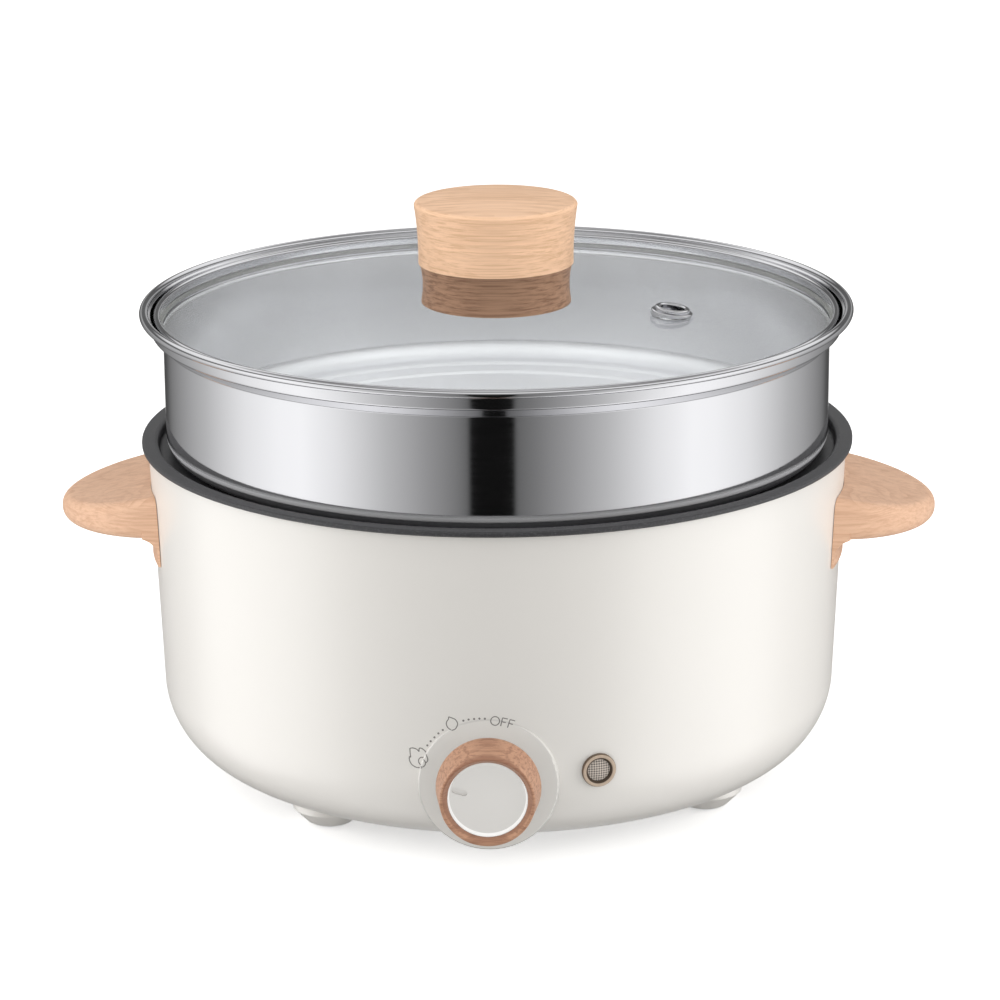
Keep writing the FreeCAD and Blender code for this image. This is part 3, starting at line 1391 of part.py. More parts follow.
def make_lid_band():
    """Rolled steel band: a channel round the glass whose foot leans on the shoulder."""
    body = new_body("lid_band")
    top = "band_top_height"
    drop = f"({GLASS_EDGE_TOP} + band_glass_gap)"
    outer_slot = "(band_outer_radius - band_sheet)"
    under, over = "pan_sheet + band_seat_gap", "pan_sheet + band_seat_gap + band_sheet"
    spin(body, "band", [
        corner("band_leg_radius", shoulder("band_leg_radius", under)),
        corner("band_outer_radius", shoulder("band_outer_radius", under), round="band_leg_round"),
        corner("band_outer_radius", top, round="band_top_round"),
        corner("band_inner_radius", top, round="band_top_round"),
        corner("band_inner_radius", drop),
        corner("band_inner_radius + band_sheet", drop),
        corner("band_inner_radius + band_sheet", f"{top} - band_sheet", round="0.5"),
        corner(outer_slot, f"{top} - band_sheet", round="0.5"),
        corner(outer_slot, shoulder(outer_slot, over), round="0.4"),
        corner("band_leg_radius", shoulder("band_leg_radius", over)),
    ])


def make_lid_seal():
    """Soft ring under the edge of the glass, inside the band."""
    body = new_body("lid_seal")
    outer = "(band_leg_radius + lid_seal_width)"
    above = "pan_sheet + band_seat_gap + band_sheet + lid_seal_gap"
    spin(body, "seal", [
        corner("band_leg_radius", shoulder("band_leg_radius", above)),
        corner(outer, f"{GLASS_EDGE_LOW} - lid_seal_gap - 0.2"),
        corner(outer, f"{GLASS_EDGE_LOW} - lid_seal_gap"),
        corner("band_leg_radius", f"{GLASS_EDGE_LOW} - lid_seal_gap"),
    ])


def glass_lean():
    distance = math.hypot(value("vent_x"), value("vent_y"))
    slope = math.degrees(math.asin(distance / value(DOME_RADIUS)))
    across = FreeCAD.Vector(-value("vent_y"), value("vent_x"), 0)
    return FreeCAD.Rotation(across, slope)


def make_steam_vent():
    """Steel eyelet through the glass: a leaning flange and roll, a tube and a clench."""
    body = new_body("steam_vent")
    under = "(-glass_thickness - 0.06)"
    lean = FreeCAD.Rotation(FreeCAD.Vector(0, 0, 1), -value("vent_lean"))
    mouth = "(vent_bore_radius + vent_bore_step)"
    spin(body, "roll", [
        corner(mouth, "-vent_flange_height"),
        corner("vent_flange_radius", "-vent_flange_height"),
        corner("vent_flange_radius", "vent_flange_height", round="0.45"),
        corner("vent_roll_radius", "vent_flange_height"),
        corner("vent_roll_radius", "vent_roll_height", round="0.7"),
        corner(mouth, "vent_roll_height", round="0.7"),
    ], turn=lean)
    spin(body, "seat", [
        corner("0", "-2 * vent_roll_height"),
        corner("vent_flange_radius + 2", "-2 * vent_roll_height"),
        corner("vent_flange_radius + 2", "0.04"),
        corner("0", "0.04"),
    ], cut=True)
    spin(body, "eyelet", [
        corner("vent_bore_radius", f"{under} - vent_clench_height"),
        corner("vent_clench_radius", f"{under} - vent_clench_height", round="0.3"),
        corner("vent_clench_radius", under),
        corner("vent_tube_radius", under),
        corner("vent_tube_radius", "0.3"),
        corner("vent_bore_radius", "0.3"),
    ])
    square = "(vent_x ^ 2 + vent_y ^ 2)"
    level = f"glass_crown_height - {DOME_RADIUS} + sqrt({DOME_RADIUS} ^ 2 - {square})"
    stand(body, ("vent_x", "vent_y", level), glass_lean())


def make_foot_washer():
    """Soft washer between the glass and the knob's foot."""
    body = new_body("foot_washer")
    inner = "(grip_screw_radius + grip_screw_gap)"
    spin(body, "washer", [
        corner(inner, "glass_crown_height"),
        corner("foot_washer_radius", "glass_crown_height"),
        corner("foot_washer_radius", GRIP_LOW),
        corner(inner, GRIP_LOW),
    ])


def make_under_washer():
    """Washer under the glass, below the head of the screw."""
    body = new_body("under_washer")
    inner = "(grip_screw_radius + grip_screw_gap)"
    low = f"({GLASS_UNDERSIDE} - under_washer_thickness)"
    spin(body, "washer", [
        corner(inner, low),
        corner("under_washer_radius", low, round="0.3"),
        corner("under_washer_radius", f"{GLASS_UNDERSIDE} - 0.04"),
        corner(inner, f"{GLASS_UNDERSIDE} - 0.04"),
    ])


def make_grip_foot():
    """Dark turned foot of the lid knob, waisted, with a recess for the cap."""
    body = new_body("grip_foot")
    bore = "(grip_insert_radius + grip_screw_gap)"
    spigot = "(grip_spigot_radius + grip_spigot_gap)"
    recess = f"({GRIP_JOINT} - grip_spigot_height)"
    spin(body, "foot", [
        corner("grip_screw_radius + grip_screw_gap", GRIP_LOW),
        corner("grip_foot_radius", GRIP_LOW),
        corner("grip_foot_radius", f"{GRIP_LOW} + grip_foot_round", arc="grip_foot_waist"),
        corner("grip_foot_top_radius", GRIP_JOINT),
        corner(spigot, GRIP_JOINT),
        corner(spigot, recess),
        corner(bore, recess),
        corner(bore, f"{GRIP_LOW} + 6"),
        corner("grip_screw_radius + grip_screw_gap", f"{GRIP_LOW} + 6"),
    ])


def make_grip_cap():
    """Light turned cap of the lid knob, with a spigot and a hole for the insert."""
    body = new_body("grip_cap")
    top = f"({GRIP_JOINT} + grip_cap_height)"
    low = f"({GRIP_JOINT} - grip_spigot_height + 0.1)"
    bore = "(grip_insert_radius + 0.05)"
    hole_top = f"({low} + grip_insert_length - 4)"
    spin(body, "cap", [
        corner(bore, low),
        corner("grip_spigot_radius", low),
        corner("grip_spigot_radius", f"{GRIP_JOINT} + 0.02"),
        corner("grip_cap_low_radius", f"{GRIP_JOINT} + 0.02", arc="grip_cap_waist"),
        corner("grip_cap_radius", f"{top} - grip_cap_round", arc="1.5 * grip_cap_round", side=-1),
        corner("grip_cap_radius - grip_cap_round", top, arc="crown", side=-1),
        corner("0", f"{top} + grip_crown_rise"),
        corner("0", hole_top),
        corner(bore, hole_top),
    ])


def make_grip_insert():
    """Threaded bush in the cap that takes the screw."""
    body = new_body("grip_insert")
    top = f"({GRIP_JOINT} - grip_spigot_height + 0.1 + grip_insert_length - 4)"
    bore = "(grip_screw_radius + 0.05)"
    spin(body, "bush", [
        corner(bore, f"{top} - grip_insert_length"),
        corner("grip_insert_radius", f"{top} - grip_insert_length"),
        corner("grip_insert_radius", top),
        corner(bore, top),
    ])


def make_grip_screw():
    body = new_body("grip_screw")
    seat = f"{GLASS_UNDERSIDE} - under_washer_thickness"
    pan_head_screw(
        body, "screw", "grip_screw_radius", "glass_thickness + grip_foot_height + 4",
        "grip_screw_head_radius", "grip_screw_head_height", shift=("0", seat, "0"))


def check(doc):
    """Stop where an object failed, or a piece is empty, not valid or in too many parts."""
    failed = [item.Name for item in doc.Objects if {"Invalid", "Error"} & set(item.State)]
    if failed:
        raise RuntimeError(f"objects that did not build: {failed}")
    for body in doc.findObjects("PartDesign::Body"):
        if body.Shape.isNull() or not body.Shape.isValid() or body.Shape.Volume <= 0:
            raise RuntimeError(f"{body.Label} is empty or not valid")
        if len(body.Shape.Solids) > 1 and not body.Label.endswith("s"):
            raise RuntimeError(f"{body.Label} has come apart")


def main():
    doc = FreeCAD.newDocument("HotPot")
    make_sheet(doc)
    make_outer_shell()
    make_foot_pads()
    make_base_cover()
    make_base_cover_screws()
    make_inner_pot()
    make_rim_seal()
    make_handle("right_handle", 0)
    make_handle("left_handle", 180)
    make_handle_screws()
    make_heating_plate()
    make_heating_element()
    make_heat_shield()
    make_clamp_screws()
    make_heat_limiter()
    make_thermal_fuse()
    make_fuse_clip()
    make_control_thermostat()
    make_thermostat_bracket()
    make_thermostat_screws()
    make_control_spindle()
    make_control_knob()
    make_knob_disc()
    make_lamp_bezel()
    make_lamp_lens()
    make_lamp_bulb()
    make_lamp_nut()
    make_inlet_housing()
    make_inlet_pins()
    make_inlet_screws()
    make_terminal_block()
    make_steamer_pan()
    make_lid_glass()
    make_lid_band()
    make_lid_seal()
    make_steam_vent()
    make_foot_washer()
    make_under_washer()
    make_grip_foot()
    make_grip_cap()
    make_grip_insert()
    make_grip_screw()
    doc.recompute()
    check(doc)
    os.makedirs("parts", exist_ok=True)
    for body in doc.findObjects("PartDesign::Body"):
        body.Shape.exportStep(f"parts/{body.Label}.step")


main()
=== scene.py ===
import math

import bmesh
import bpy
from mathutils import Matrix, Vector
from mathutils.bvhtree import BVHTree


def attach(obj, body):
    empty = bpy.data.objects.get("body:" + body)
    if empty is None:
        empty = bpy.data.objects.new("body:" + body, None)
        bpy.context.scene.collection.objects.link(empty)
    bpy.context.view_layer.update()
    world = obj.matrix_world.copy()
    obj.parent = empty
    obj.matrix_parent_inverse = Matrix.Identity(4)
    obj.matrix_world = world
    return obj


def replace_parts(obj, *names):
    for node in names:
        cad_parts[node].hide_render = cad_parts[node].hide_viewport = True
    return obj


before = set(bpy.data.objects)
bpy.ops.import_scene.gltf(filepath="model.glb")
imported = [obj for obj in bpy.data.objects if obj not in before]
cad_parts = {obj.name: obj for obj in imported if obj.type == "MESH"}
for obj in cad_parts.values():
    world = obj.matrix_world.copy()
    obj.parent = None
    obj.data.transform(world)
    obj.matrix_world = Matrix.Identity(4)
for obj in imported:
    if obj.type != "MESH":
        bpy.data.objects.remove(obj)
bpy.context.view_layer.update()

bl_info = {
    "name": "Hot Pot Finisher",
    "version": (1, 0, 0),
    "blender": (4, 5, 0),
    "location": "3D View > Sidebar > Hot Pot",
    "description": "Finishes, printed marks, a ribbed lamp lens and a studio for a countertop hot pot",
    "category": "Object",
}

MM = 0.001
# The pot's axis, and how far the housing's wall leans from it.
AXIS = Vector((0.0, 0.00525, 0.0))
WALL_LEAN = math.radians(2.29697)
# The wall's radius at a height near the floor, and where the marks are printed.
WALL_FOOT_RADIUS, WALL_FOOT_HEIGHT = 0.1325, 0.007
MARK_RADIUS = 0.1342
# Where the heat knob and the lamp sit on the wall.
KNOB_CENTRE = Vector((0.0, -0.128171, 0.0362))
LAMP_ANGLE, LAMP_HEIGHT = math.radians(17.6), 0.0403
# The steamer is satin within this radius, and polished outside.
SATIN_RADIUS = 0.1300


def colour(name, text, default):
    """A colour that a user of the panel can change."""
    return bpy.props.FloatVectorProperty(
        name=name, description=text, default=default, min=0.0, max=1.0, size=3, subtype="COLOR"
    )


def length(name, text, default):
    """A length in metres that the user can change."""
    return bpy.props.FloatProperty(
        name=name, description=text, default=default, min=0.0, max=1.0,
        precision=5, unit="LENGTH", subtype="DISTANCE",
    )


def amount(name, text, default, high=1.0):
    """A plain number that the user can change."""
    return bpy.props.FloatProperty(
        name=name, description=text, default=default, min=0.0, max=high, precision=3
    )


class HotPotColours(bpy.types.PropertyGroup):
    """Colours of the pot's materials."""

    cream: colour("Housing", "Moulded housing", (0.85, 0.825, 0.785))
    print_grey: colour("Marks", "Printed flames, dots and word", (0.20, 0.19, 0.18))
    handle_pale: colour("Handle wood", "Pale wood of the ear handles", (0.77, 0.50, 0.34))
    handle_vein: colour("Handle veins", "Veins in the handles", (0.55, 0.30, 0.18))
    cap_pale: colour("Lid knob cap", "Pale wood of the lid knob's cap", (0.93, 0.615, 0.41))
    cap_vein: colour("Cap veins", "Veins in the cap", (0.60, 0.34, 0.17))
    # The knob's foot is the same wood as the cap: its darker brown is painted shade for the side wall under
    # the cap.
    foot_shaded_pale: colour("Lid knob foot", "Brown wood of the lid knob's foot", (0.52, 0.305, 0.19))
    foot_shaded_vein: colour("Foot veins", "Veins in the foot", (0.20, 0.095, 0.055))
    dial_pale: colour("Dial ring", "Wood of the heat knob's ring", (0.60, 0.335, 0.21))
    dial_vein: colour("Dial veins", "Veins in the ring", (0.30, 0.135, 0.08))
    disc: colour("Dial disc", "Inset disc of the heat knob", (0.66, 0.645, 0.62))
    coating: colour("Pot coating", "Non-stick coating of the pot", (0.045, 0.045, 0.048))
    steel: colour("Polished steel", "Steamer pan, lid band and vent", (0.80, 0.80, 0.82))
    bronze: colour("Lamp bezel", "Ring round the lamp", (0.62, 0.49, 0.38))
    lens: colour("Lamp lens", "Ribbed lens of the lamp", (0.60, 0.53, 0.47))


class HotPotSizes(bpy.types.PropertyGroup):
    """Fine sizes that the finishes and the small pieces follow."""

    mark_line: length("Mark line", "Width of the printed lines", 0.00036)
    mark_dot: length("Mark dot", "Radius of the printed dots", 0.00040)
    mark_lift: length("Mark lift", "How far the print stands on the wall", 0.00004)
    vein_pitch: length("Vein pitch", "Distance between the veins of the wood", 0.0030)
    lens_pitch: length("Lens pitch", "Distance between the prisms of the lens", 0.00093)
    lens_depth: length("Lens depth", "Depth of the prisms of the lens", 0.00016)


class HotPotStudio(bpy.types.PropertyGroup):
    """Light and floor round the pot."""

    sky: amount("Sky", "Light from all round on matt surfaces", 0.70, 2.0)
    side_light: amount("Side lamps", "Watts of the two side lamps", 6.0, 50.0)
    sheen_light: amount("Sheen", "Watts of the panels that the housing mirrors", 7.4, 80.0)
    fill_light: amount("Fill", "Watts of the lamp in front of the wood and the disc", 5.0, 50.0)
    floor_shade: amount("Floor shade", "How much light the floor throws back", 0.70)


# ---------------------------------------------------------------- node work


class Nodes:
    """A node tree, with short calls for the nodes that it needs most."""

    def __init__(self, tree):
        self.nodes, self.links = tree.nodes, tree.links

    def feed(self, socket, value):
        """Links a socket to another node's output, or sets its number."""
        if isinstance(value, bpy.types.NodeSocket):
            self.links.new(value, socket)
        else:
            socket.default_value = value

    def math(self, operation, first, second=0.0):
        node = self.nodes.new("ShaderNodeMath")
        node.operation = operation
        self.feed(node.inputs[0], first)
        self.feed(node.inputs[1], second)
        return node.outputs[0]

    def plus(self, first, second):
        return self.math("ADD", first, second)

    def times(self, first, second):
        return self.math("MULTIPLY", first, second)

    def spread(self, value, low, high, to_low=0.0, to_high=1.0, eased=False):
        """Stretches a range of values to another range."""
        node = self.nodes.new("ShaderNodeMapRange")
        node.interpolation_type = "SMOOTHSTEP" if eased else "LINEAR"
        for name, number in (
            ("From Min", low), ("From Max", high), ("To Min", to_low), ("To Max", to_high)
        ):
            node.inputs[name].default_value = number
        self.links.new(value, node.inputs["Value"])
        return node.outputs["Result"]

    def mix(self, factor, first, second):
        """The first colour, or the second where the factor is one."""
        node = self.nodes.new("ShaderNodeMix")
        node.data_type = "RGBA"
        self.feed(node.inputs[0], factor)
        for socket, value in ((node.inputs[6], first), (node.inputs[7], second)):
            self.feed(socket, value if isinstance(value, bpy.types.NodeSocket) else (*value, 1.0))
        return node.outputs[2]

    def mix_shaders(self, factor, first, second):
        """The first shader, or the second where the factor is one."""
        node = self.nodes.new("ShaderNodeMixShader")
        for socket, value in zip(node.inputs, (factor, first, second)):
            self.links.new(value, socket)
        return node.outputs[0]


class Recipe(Nodes):
    """One material: a Principled shader fed by maps of the piece's own place about the pot's axis."""

    def __init__(self, name, **values):
        self.material = bpy.data.materials.new(name)
        self.material.use_nodes = True
        super().__init__(self.material.node_tree)
        self.shader = self.nodes["Principled BSDF"]
        place = self.nodes.new("ShaderNodeTexCoord").outputs["Object"]
        self.place = self.vector("SUBTRACT", place, tuple(AXIS))
        for socket, value in values.items():
            wanted = socket.replace("_", " ").title().replace("Ior", "IOR")
            if wanted == "Base Color":
                value = (*value, 1.0)
            self.shader.inputs[wanted].default_value = value

    def vector(self, operation, first, second=(0.0, 0.0, 0.0)):
        node = self.nodes.new("ShaderNodeVectorMath")
        node.operation = operation
        self.feed(node.inputs[0], first)
        self.feed(node.inputs[1], second)
        return node.outputs["Value" if operation in ("LENGTH", "DOT_PRODUCT") else "Vector"]

    def stretched(self, x, y, z):
        """The place in parts per metre along each axis."""
        return self.vector("MULTIPLY", self.place, (x, y, z))

    def noise(self, scale=1.0, place=None, detail=2.0, rough=0.5):
        node = self.nodes.new("ShaderNodeTexNoise")
        node.inputs["Scale"].default_value = scale
        node.inputs["Detail"].default_value = detail
        node.inputs["Roughness"].default_value = rough
        self.links.new(place or self.place, node.inputs["Vector"])
        return node.outputs["Fac"]

    def parts(self, place=None):
        node = self.nodes.new("ShaderNodeSeparateXYZ")
        self.links.new(place or self.place, node.inputs[0])
        return node.outputs

    def joined(self, x, y, z):
        node = self.nodes.new("ShaderNodeCombineXYZ")
        for socket, value in zip(node.inputs, (x, y, z)):
            self.feed(socket, value)
        return node.outputs[0]

    def bump(self, height, depth):
        node = self.nodes.new("ShaderNodeBump")
        node.inputs["Distance"].default_value = depth
        self.links.new(height, node.inputs["Height"])
        self.links.new(node.outputs["Normal"], self.shader.inputs["Normal"])

    def base(self, value):
        self.links.new(value, self.shader.inputs["Base Color"])

    def rough(self, value):
        self.links.new(value, self.shader.inputs["Roughness"])


def shade(tone, factor):
    """A lighter or darker tone."""
    return tuple(min(1.0, part * factor) for part in tone)


def between(first, second, part):
    """A tone part of the way from the first to the second."""
    return tuple(a + (b - a) * part for a, b in zip(first, second))


def moulded(name, tone, gloss, grain=900.0, depth=0.00002, mottle=0.03):
    """Moulded plastic: a faint cloudiness and the fine skin of the mould."""
    recipe = Recipe(name, base_color=tone, roughness=gloss)
    cloud = recipe.noise(14.0, detail=3.0)
    recipe.base(recipe.mix(cloud, shade(tone, 1 - mottle), shade(tone, 1 + mottle)))
    skin = recipe.noise(grain, detail=3.0, rough=0.6)
    recipe.rough(recipe.spread(skin, 0.25, 0.75, gloss - 0.04, gloss + 0.04))
    recipe.bump(skin, depth)
    return recipe.material


def satin_steel(name, tone, gloss, along=(40.0, 40.0, 2200.0)):
    """Rolled or turned metal: fine lines along one way, and a little cloudiness."""
    recipe = Recipe(name, base_color=tone, metallic=1.0, roughness=gloss)
    lines = recipe.noise(1.0, recipe.stretched(*along), detail=3.0, rough=0.65)
    cloud = recipe.noise(22.0, detail=2.0)
    recipe.base(recipe.mix(cloud, shade(tone, 0.93), shade(tone, 1.04)))
    recipe.rough(recipe.spread(lines, 0.3, 0.7, gloss * 0.8, gloss * 1.25))
    recipe.bump(lines, 0.000012)
    return recipe.material


def polished_steel(name, tone, inside=0.0):
    """Buffed stainless steel with faint drawing lines, left satin within the radius given."""
    recipe = Recipe(name, base_color=tone, metallic=1.0, roughness=0.07)
    lines = recipe.noise(1.0, recipe.stretched(30.0, 30.0, 1400.0), detail=2.0)
    cloud = recipe.noise(16.0, detail=3.0)
    recipe.base(recipe.mix(cloud, shade(tone, 0.965), shade(tone, 1.02)))
    polish = recipe.spread(lines, 0.3, 0.7, 0.055, 0.095)
    if inside:
        x, y, z = recipe.parts()
        way = recipe.joined(x, y, 0.0)
        within = recipe.spread(recipe.vector("LENGTH", way), inside - 0.0002, inside, 1.0, 0.0)
        within = recipe.times(within, recipe.spread(z, 0.1312, 0.1314))
        # Painted reflection: the foot of the outer wall, below about 138 mm, is made rougher and mostly
        # non-metallic, so that its pale steel tone shows as a light band instead of mirroring the dark pot
        # rim.
        low = recipe.spread(z, 0.1376, 0.1392, 1.0, 0.0)
        fan = recipe.vector("MULTIPLY", recipe.vector("NORMALIZE", way), (9.0, 9.0, 0.0))
        fan = recipe.noise(1.0, recipe.vector("ADD", fan, recipe.stretched(6.0, 6.0, 9.0)))
        satin = recipe.times(within, recipe.spread(fan, 0.3, 0.7, 0.19, 0.25))
        polish = recipe.math("MAXIMUM", polish, recipe.math("MAXIMUM", satin, recipe.times(low, 0.35)))
        outer = recipe.times(low, recipe.math("SUBTRACT", 1.0, within))
        metal = recipe.math("SUBTRACT", 1.0, recipe.times(outer, 0.7))
        recipe.links.new(metal, recipe.shader.inputs["Metallic"])
    recipe.rough(polish)
    recipe.bump(lines, 0.0000012)
    return recipe.material


def cast_metal(name, tone, gloss, grain=260.0, depth=0.00012):
    """Cast metal with its sandy skin."""
    recipe = Recipe(name, base_color=tone, metallic=0.9, roughness=gloss)
    skin = recipe.noise(grain, detail=5.0, rough=0.65)
    recipe.base(recipe.mix(skin, shade(tone, 0.78), shade(tone, 1.12)))
    recipe.rough(recipe.spread(skin, 0.3, 0.7, gloss - 0.08, gloss + 0.1))
    recipe.bump(skin, depth)
    return recipe.material


def soft_rubber(name, tone, gloss=0.7):
    """Rubber or silicone with a dusty skin."""
    recipe = Recipe(name, base_color=tone, roughness=gloss)
    dust = recipe.noise(340.0, detail=4.0, rough=0.7)
    recipe.base(recipe.mix(dust, shade(tone, 0.8), shade(tone, 1.25)))
    recipe.bump(dust, 0.00004)
    return recipe.material


def beech(name, pale, vein, pitch, knots=(), lean=0.12, gloss=0.46, contrast=1.0, streaks=0.6,
          wrap=None):
    """Wood with its grain along X, or round the piece below the height wrap, and knots that bend it."""
    recipe = Recipe(name, base_color=pale, roughness=gloss)
    if wrap:
        x, y, z = recipe.parts()
        way = recipe.vector("NORMALIZE", recipe.joined(x, y, 0.0))
        way = recipe.parts(recipe.vector("MULTIPLY", way, (0.03, 0.012, 0.0)))
        below = recipe.spread(z, wrap - 0.0008, wrap, 1.0, 0.0)
        recipe.place = recipe.mix(below, recipe.place, recipe.joined(way[0], way[1], z))
    slow = recipe.noise(1.0, recipe.stretched(26.0, 60.0, 60.0), detail=2.0)
    x, y, z = recipe.parts()
    layer = recipe.plus(z, recipe.times(y, lean))
    phase = recipe.plus(recipe.math("DIVIDE", layer, pitch), recipe.times(slow, 3.4))
    for spot, size, pull in knots:
        away = recipe.vector("SUBTRACT", recipe.place, spot)
        away = recipe.vector("MULTIPLY", away, (0.62 / size, 0.35 / size, 1 / size))
        near = recipe.vector("LENGTH", away)
        hill = recipe.math("POWER", 2.71828, recipe.times(recipe.times(near, near), -1.0))
        phase = recipe.plus(phase, recipe.times(hill, pull))
    wave = recipe.spread(recipe.math("FRACT", phase), 0.45, 1.0, eased=True)
    fade = recipe.noise(1.0, recipe.stretched(34.0, 130.0, 260.0), detail=3.0)
    line = recipe.times(wave, recipe.spread(fade, 0.38, 0.66))
    pores = recipe.noise(1.0, recipe.stretched(120.0, 1900.0, 2300.0), detail=3.0, rough=0.7)
    fibre = recipe.noise(1.0, recipe.stretched(16.0, 420.0, 620.0), detail=4.0, rough=0.6)
    streak = recipe.noise(1.0, recipe.stretched(7.0, 420.0, 1050.0), detail=5.0, rough=0.66)
    patch = recipe.noise(1.0, recipe.stretched(30.0, 60.0, 110.0), detail=2.0)
    tint = recipe.mix(recipe.spread(fibre, 0.3, 0.72), shade(pale, 1.05), between(pale, vein, 0.24))
    for share, tone in (
        (recipe.spread(streak, 0.47, 0.62, 0.0, 0.85 * streaks), between(pale, vein, 0.85)),
        (recipe.times(line, 0.5 * contrast), vein),
        (recipe.spread(patch, 0.55, 0.8, 0.0, 0.42 * contrast), between(pale, vein, 0.6)),
        (recipe.spread(pores, 0.56, 0.74, 0.0, 0.34 * contrast), shade(vein, 0.9)),
    ):
        tint = recipe.mix(share, tint, tone)
    recipe.base(tint)
    recipe.rough(recipe.spread(pores, 0.3, 0.75, gloss - 0.06, gloss + 0.12))
    recipe.bump(recipe.plus(recipe.times(pores, -1.0), recipe.times(line, -0.4)), 0.00002)
    return recipe


# ------------------------------------------------------------- piece work


def dress(node, material):
    """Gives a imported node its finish."""
    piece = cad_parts[node]
    if not piece.material_slots:
        piece.data.materials.append(material)
    for slot in piece.material_slots:
        slot.material = material
    return piece


def dress_all(nodes, material):
    """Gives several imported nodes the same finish."""
    for node in nodes:
        dress(node, material)


def finish_piece(mesh, name, body, material):
    """Turns a bmesh into a piece that rides on a body."""
    data = bpy.data.meshes.new(name)
    mesh.to_mesh(data)
    mesh.free()
    piece = bpy.data.objects.new(name, data)
    bpy.context.scene.collection.objects.link(piece)
    data.materials.append(material)
    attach(piece, body)
    return piece


def smooth(piece, angle=35.0):
    """Smooth skin that keeps its sharp edges."""
    data = piece.data
    if "custom_normal" in data.attributes:
        data.attributes.remove(data.attributes["custom_normal"])
    for face in data.polygons:
        face.use_smooth = True
    data.set_sharp_from_angle(angle=math.radians(angle))
    return piece


# Profiles about the pot's axis: (radius, height, round of the corner) in millimetres.
STEAMER_OUTSIDE = (
    (121.5, 131.003, 0), (130.4, 131.0, 8.0), (130.4, 176.1, 0.9), (135.1, 180.0, 1.7), (136.0, 185.5, 0),
    (136.264, 185.5, 0),
)
STEAMER_INSIDE = (
    (135.952, 186.423, 0), (135.2, 185.9, 0.4), (134.3, 180.376, 0.9), (129.6, 176.476, 1.7),
    (129.6, 131.8, 7.2), (121.5, 131.797, 0),
)
LID_BAND = (
    (130.4, 177.46, 0), (134.0, 180.452, 1.0), (134.0, 186.4, 1.25), (131.3, 186.4, 1.25), (131.3, 183.0, 0),
    (132.0, 183.0, 0), (132.0, 185.7, 0.5), (133.3, 185.7, 0.5), (133.3, 180.78, 0.4), (130.4, 178.37, 0),
)
# The steamer's rolled bead: the middle, the spoke where it starts, and how far it turns.
STEAMER_BEAD = (Vector((137.7, 186.5)), Vector((-1.436, -1.0)), math.radians(327.3))
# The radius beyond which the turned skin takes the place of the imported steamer's faces.
FLOOR_EDGE = 0.1229


def arc(middle, first, sweep, step=math.radians(6.0)):
    """Points on an arc that starts at a spoke from its middle."""
    count = max(2, math.ceil(abs(sweep) / step))
    return [middle + Matrix.Rotation(sweep * k / count, 2) @ first for k in range(count + 1)]


def rounded(corners):
    """The points of a profile, with an arc at each corner that has a round."""
    points = []
    for index, (radius, height, size) in enumerate(corners):
        here = Vector((radius, height))
        if not size:
            points.append(here)
            continue
        back = (Vector(corners[index - 1][:2]) - here).normalized()
        on = (Vector(corners[(index + 1) % len(corners)][:2]) - here).normalized()
        half = back.angle(on) / 2
        middle = here + (back + on).normalized() * (size / math.sin(half))
        first = here + back * (size / math.tan(half)) - middle
        last = here + on * (size / math.tan(half)) - middle
        points += arc(middle, first, math.atan2(first.x * last.y - first.y * last.x, first.dot(last)))
    return points


def turned(mesh, points, sides=512):
    """The skin of a closed profile, turned about the pot's axis."""
    rows = []
    for k in range(sides):
        turn = 2 * math.pi * k / sides
        out = Vector((math.cos(turn), math.sin(turn), 0.0))
        spots = [AXIS + out * point.x * MM + Vector((0.0, 0.0, point.y * MM)) for point in points]
        rows.append([mesh.verts.new(spot) for spot in spots])
    for here, there in zip(rows, rows[1:] + rows[:1]):
        for k in range(len(points)):
            n = (k + 1) % len(points)
            mesh.faces.new((here[k], there[k], there[n], here[n]))


def steamer_skin(material):
    """The steamer with a finely turned wall and lip, so that they mirror without facets."""
    mesh = bmesh.new()
    mesh.from_mesh(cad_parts["steamer_pan"].data)
    wall = [face for face in mesh.faces if any((v.co - AXIS).xy.length > FLOOR_EDGE for v in face.verts)]
    bmesh.ops.delete(mesh, geom=wall, context="FACES")
    bead = arc(*STEAMER_BEAD)
    turned(mesh, rounded(STEAMER_OUTSIDE) + bead[1:-1] + rounded(STEAMER_INSIDE))
    piece = smooth(finish_piece(mesh, "steamer_skin", "steamer", material))
    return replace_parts(piece, "steamer_pan")


def band_skin(material):
    """The lid's band, finely turned."""
    mesh = bmesh.new()
    turned(mesh, rounded(LID_BAND))
    piece = smooth(finish_piece(mesh, "band_skin", "lid", material))
    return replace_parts(piece, "lid_band")


def wall_tree():
    """The housing's surface, to lay the print on."""
    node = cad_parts["outer_shell"]
    points = [vertex.co.copy() for vertex in node.data.vertices]
    faces = [tuple(face.vertices) for face in node.data.polygons]
    return BVHTree.FromPolygons(points, faces)


def on_wall(tree, across, up, lift):
    """The point on the housing's front at an arc length from the middle and a height."""
    angle = across / MARK_RADIUS
    outward = Vector((math.sin(angle), -math.cos(angle), 0.0))
    start = AXIS + outward * 0.16 + Vector((0.0, 0.0, up))
    hit = tree.ray_cast(start, -outward, 0.1)[0]
    if hit is None:
        raise RuntimeError("the print misses the housing")
    return hit + outward * lift


def curve_through(points, step, closed=False):
    """Even points on a Catmull-Rom curve through the given ones."""
    count = len(points)
    result = []
    for index in range(count if closed else count - 1):
        spots = [index + k for k in (-1, 0, 1, 2)]
        spots = [spot % count if closed else min(max(spot, 0), count - 1) for spot in spots]
        before, start, end, after = (Vector(points[spot]) for spot in spots)
        pieces = max(1, round((end - start).length / step))
        for part in range(pieces):
            t = part / pieces
            a = -0.5 * before + 1.5 * start - 1.5 * end + 0.5 * after
            b = before - 2.5 * start + 2 * end - 0.5 * after
            c = 0.5 * (end - before)
            result.append(((a * t + b) * t + c) * t + start)
    if not closed:
        result.append(Vector(points[-1]))
    return result


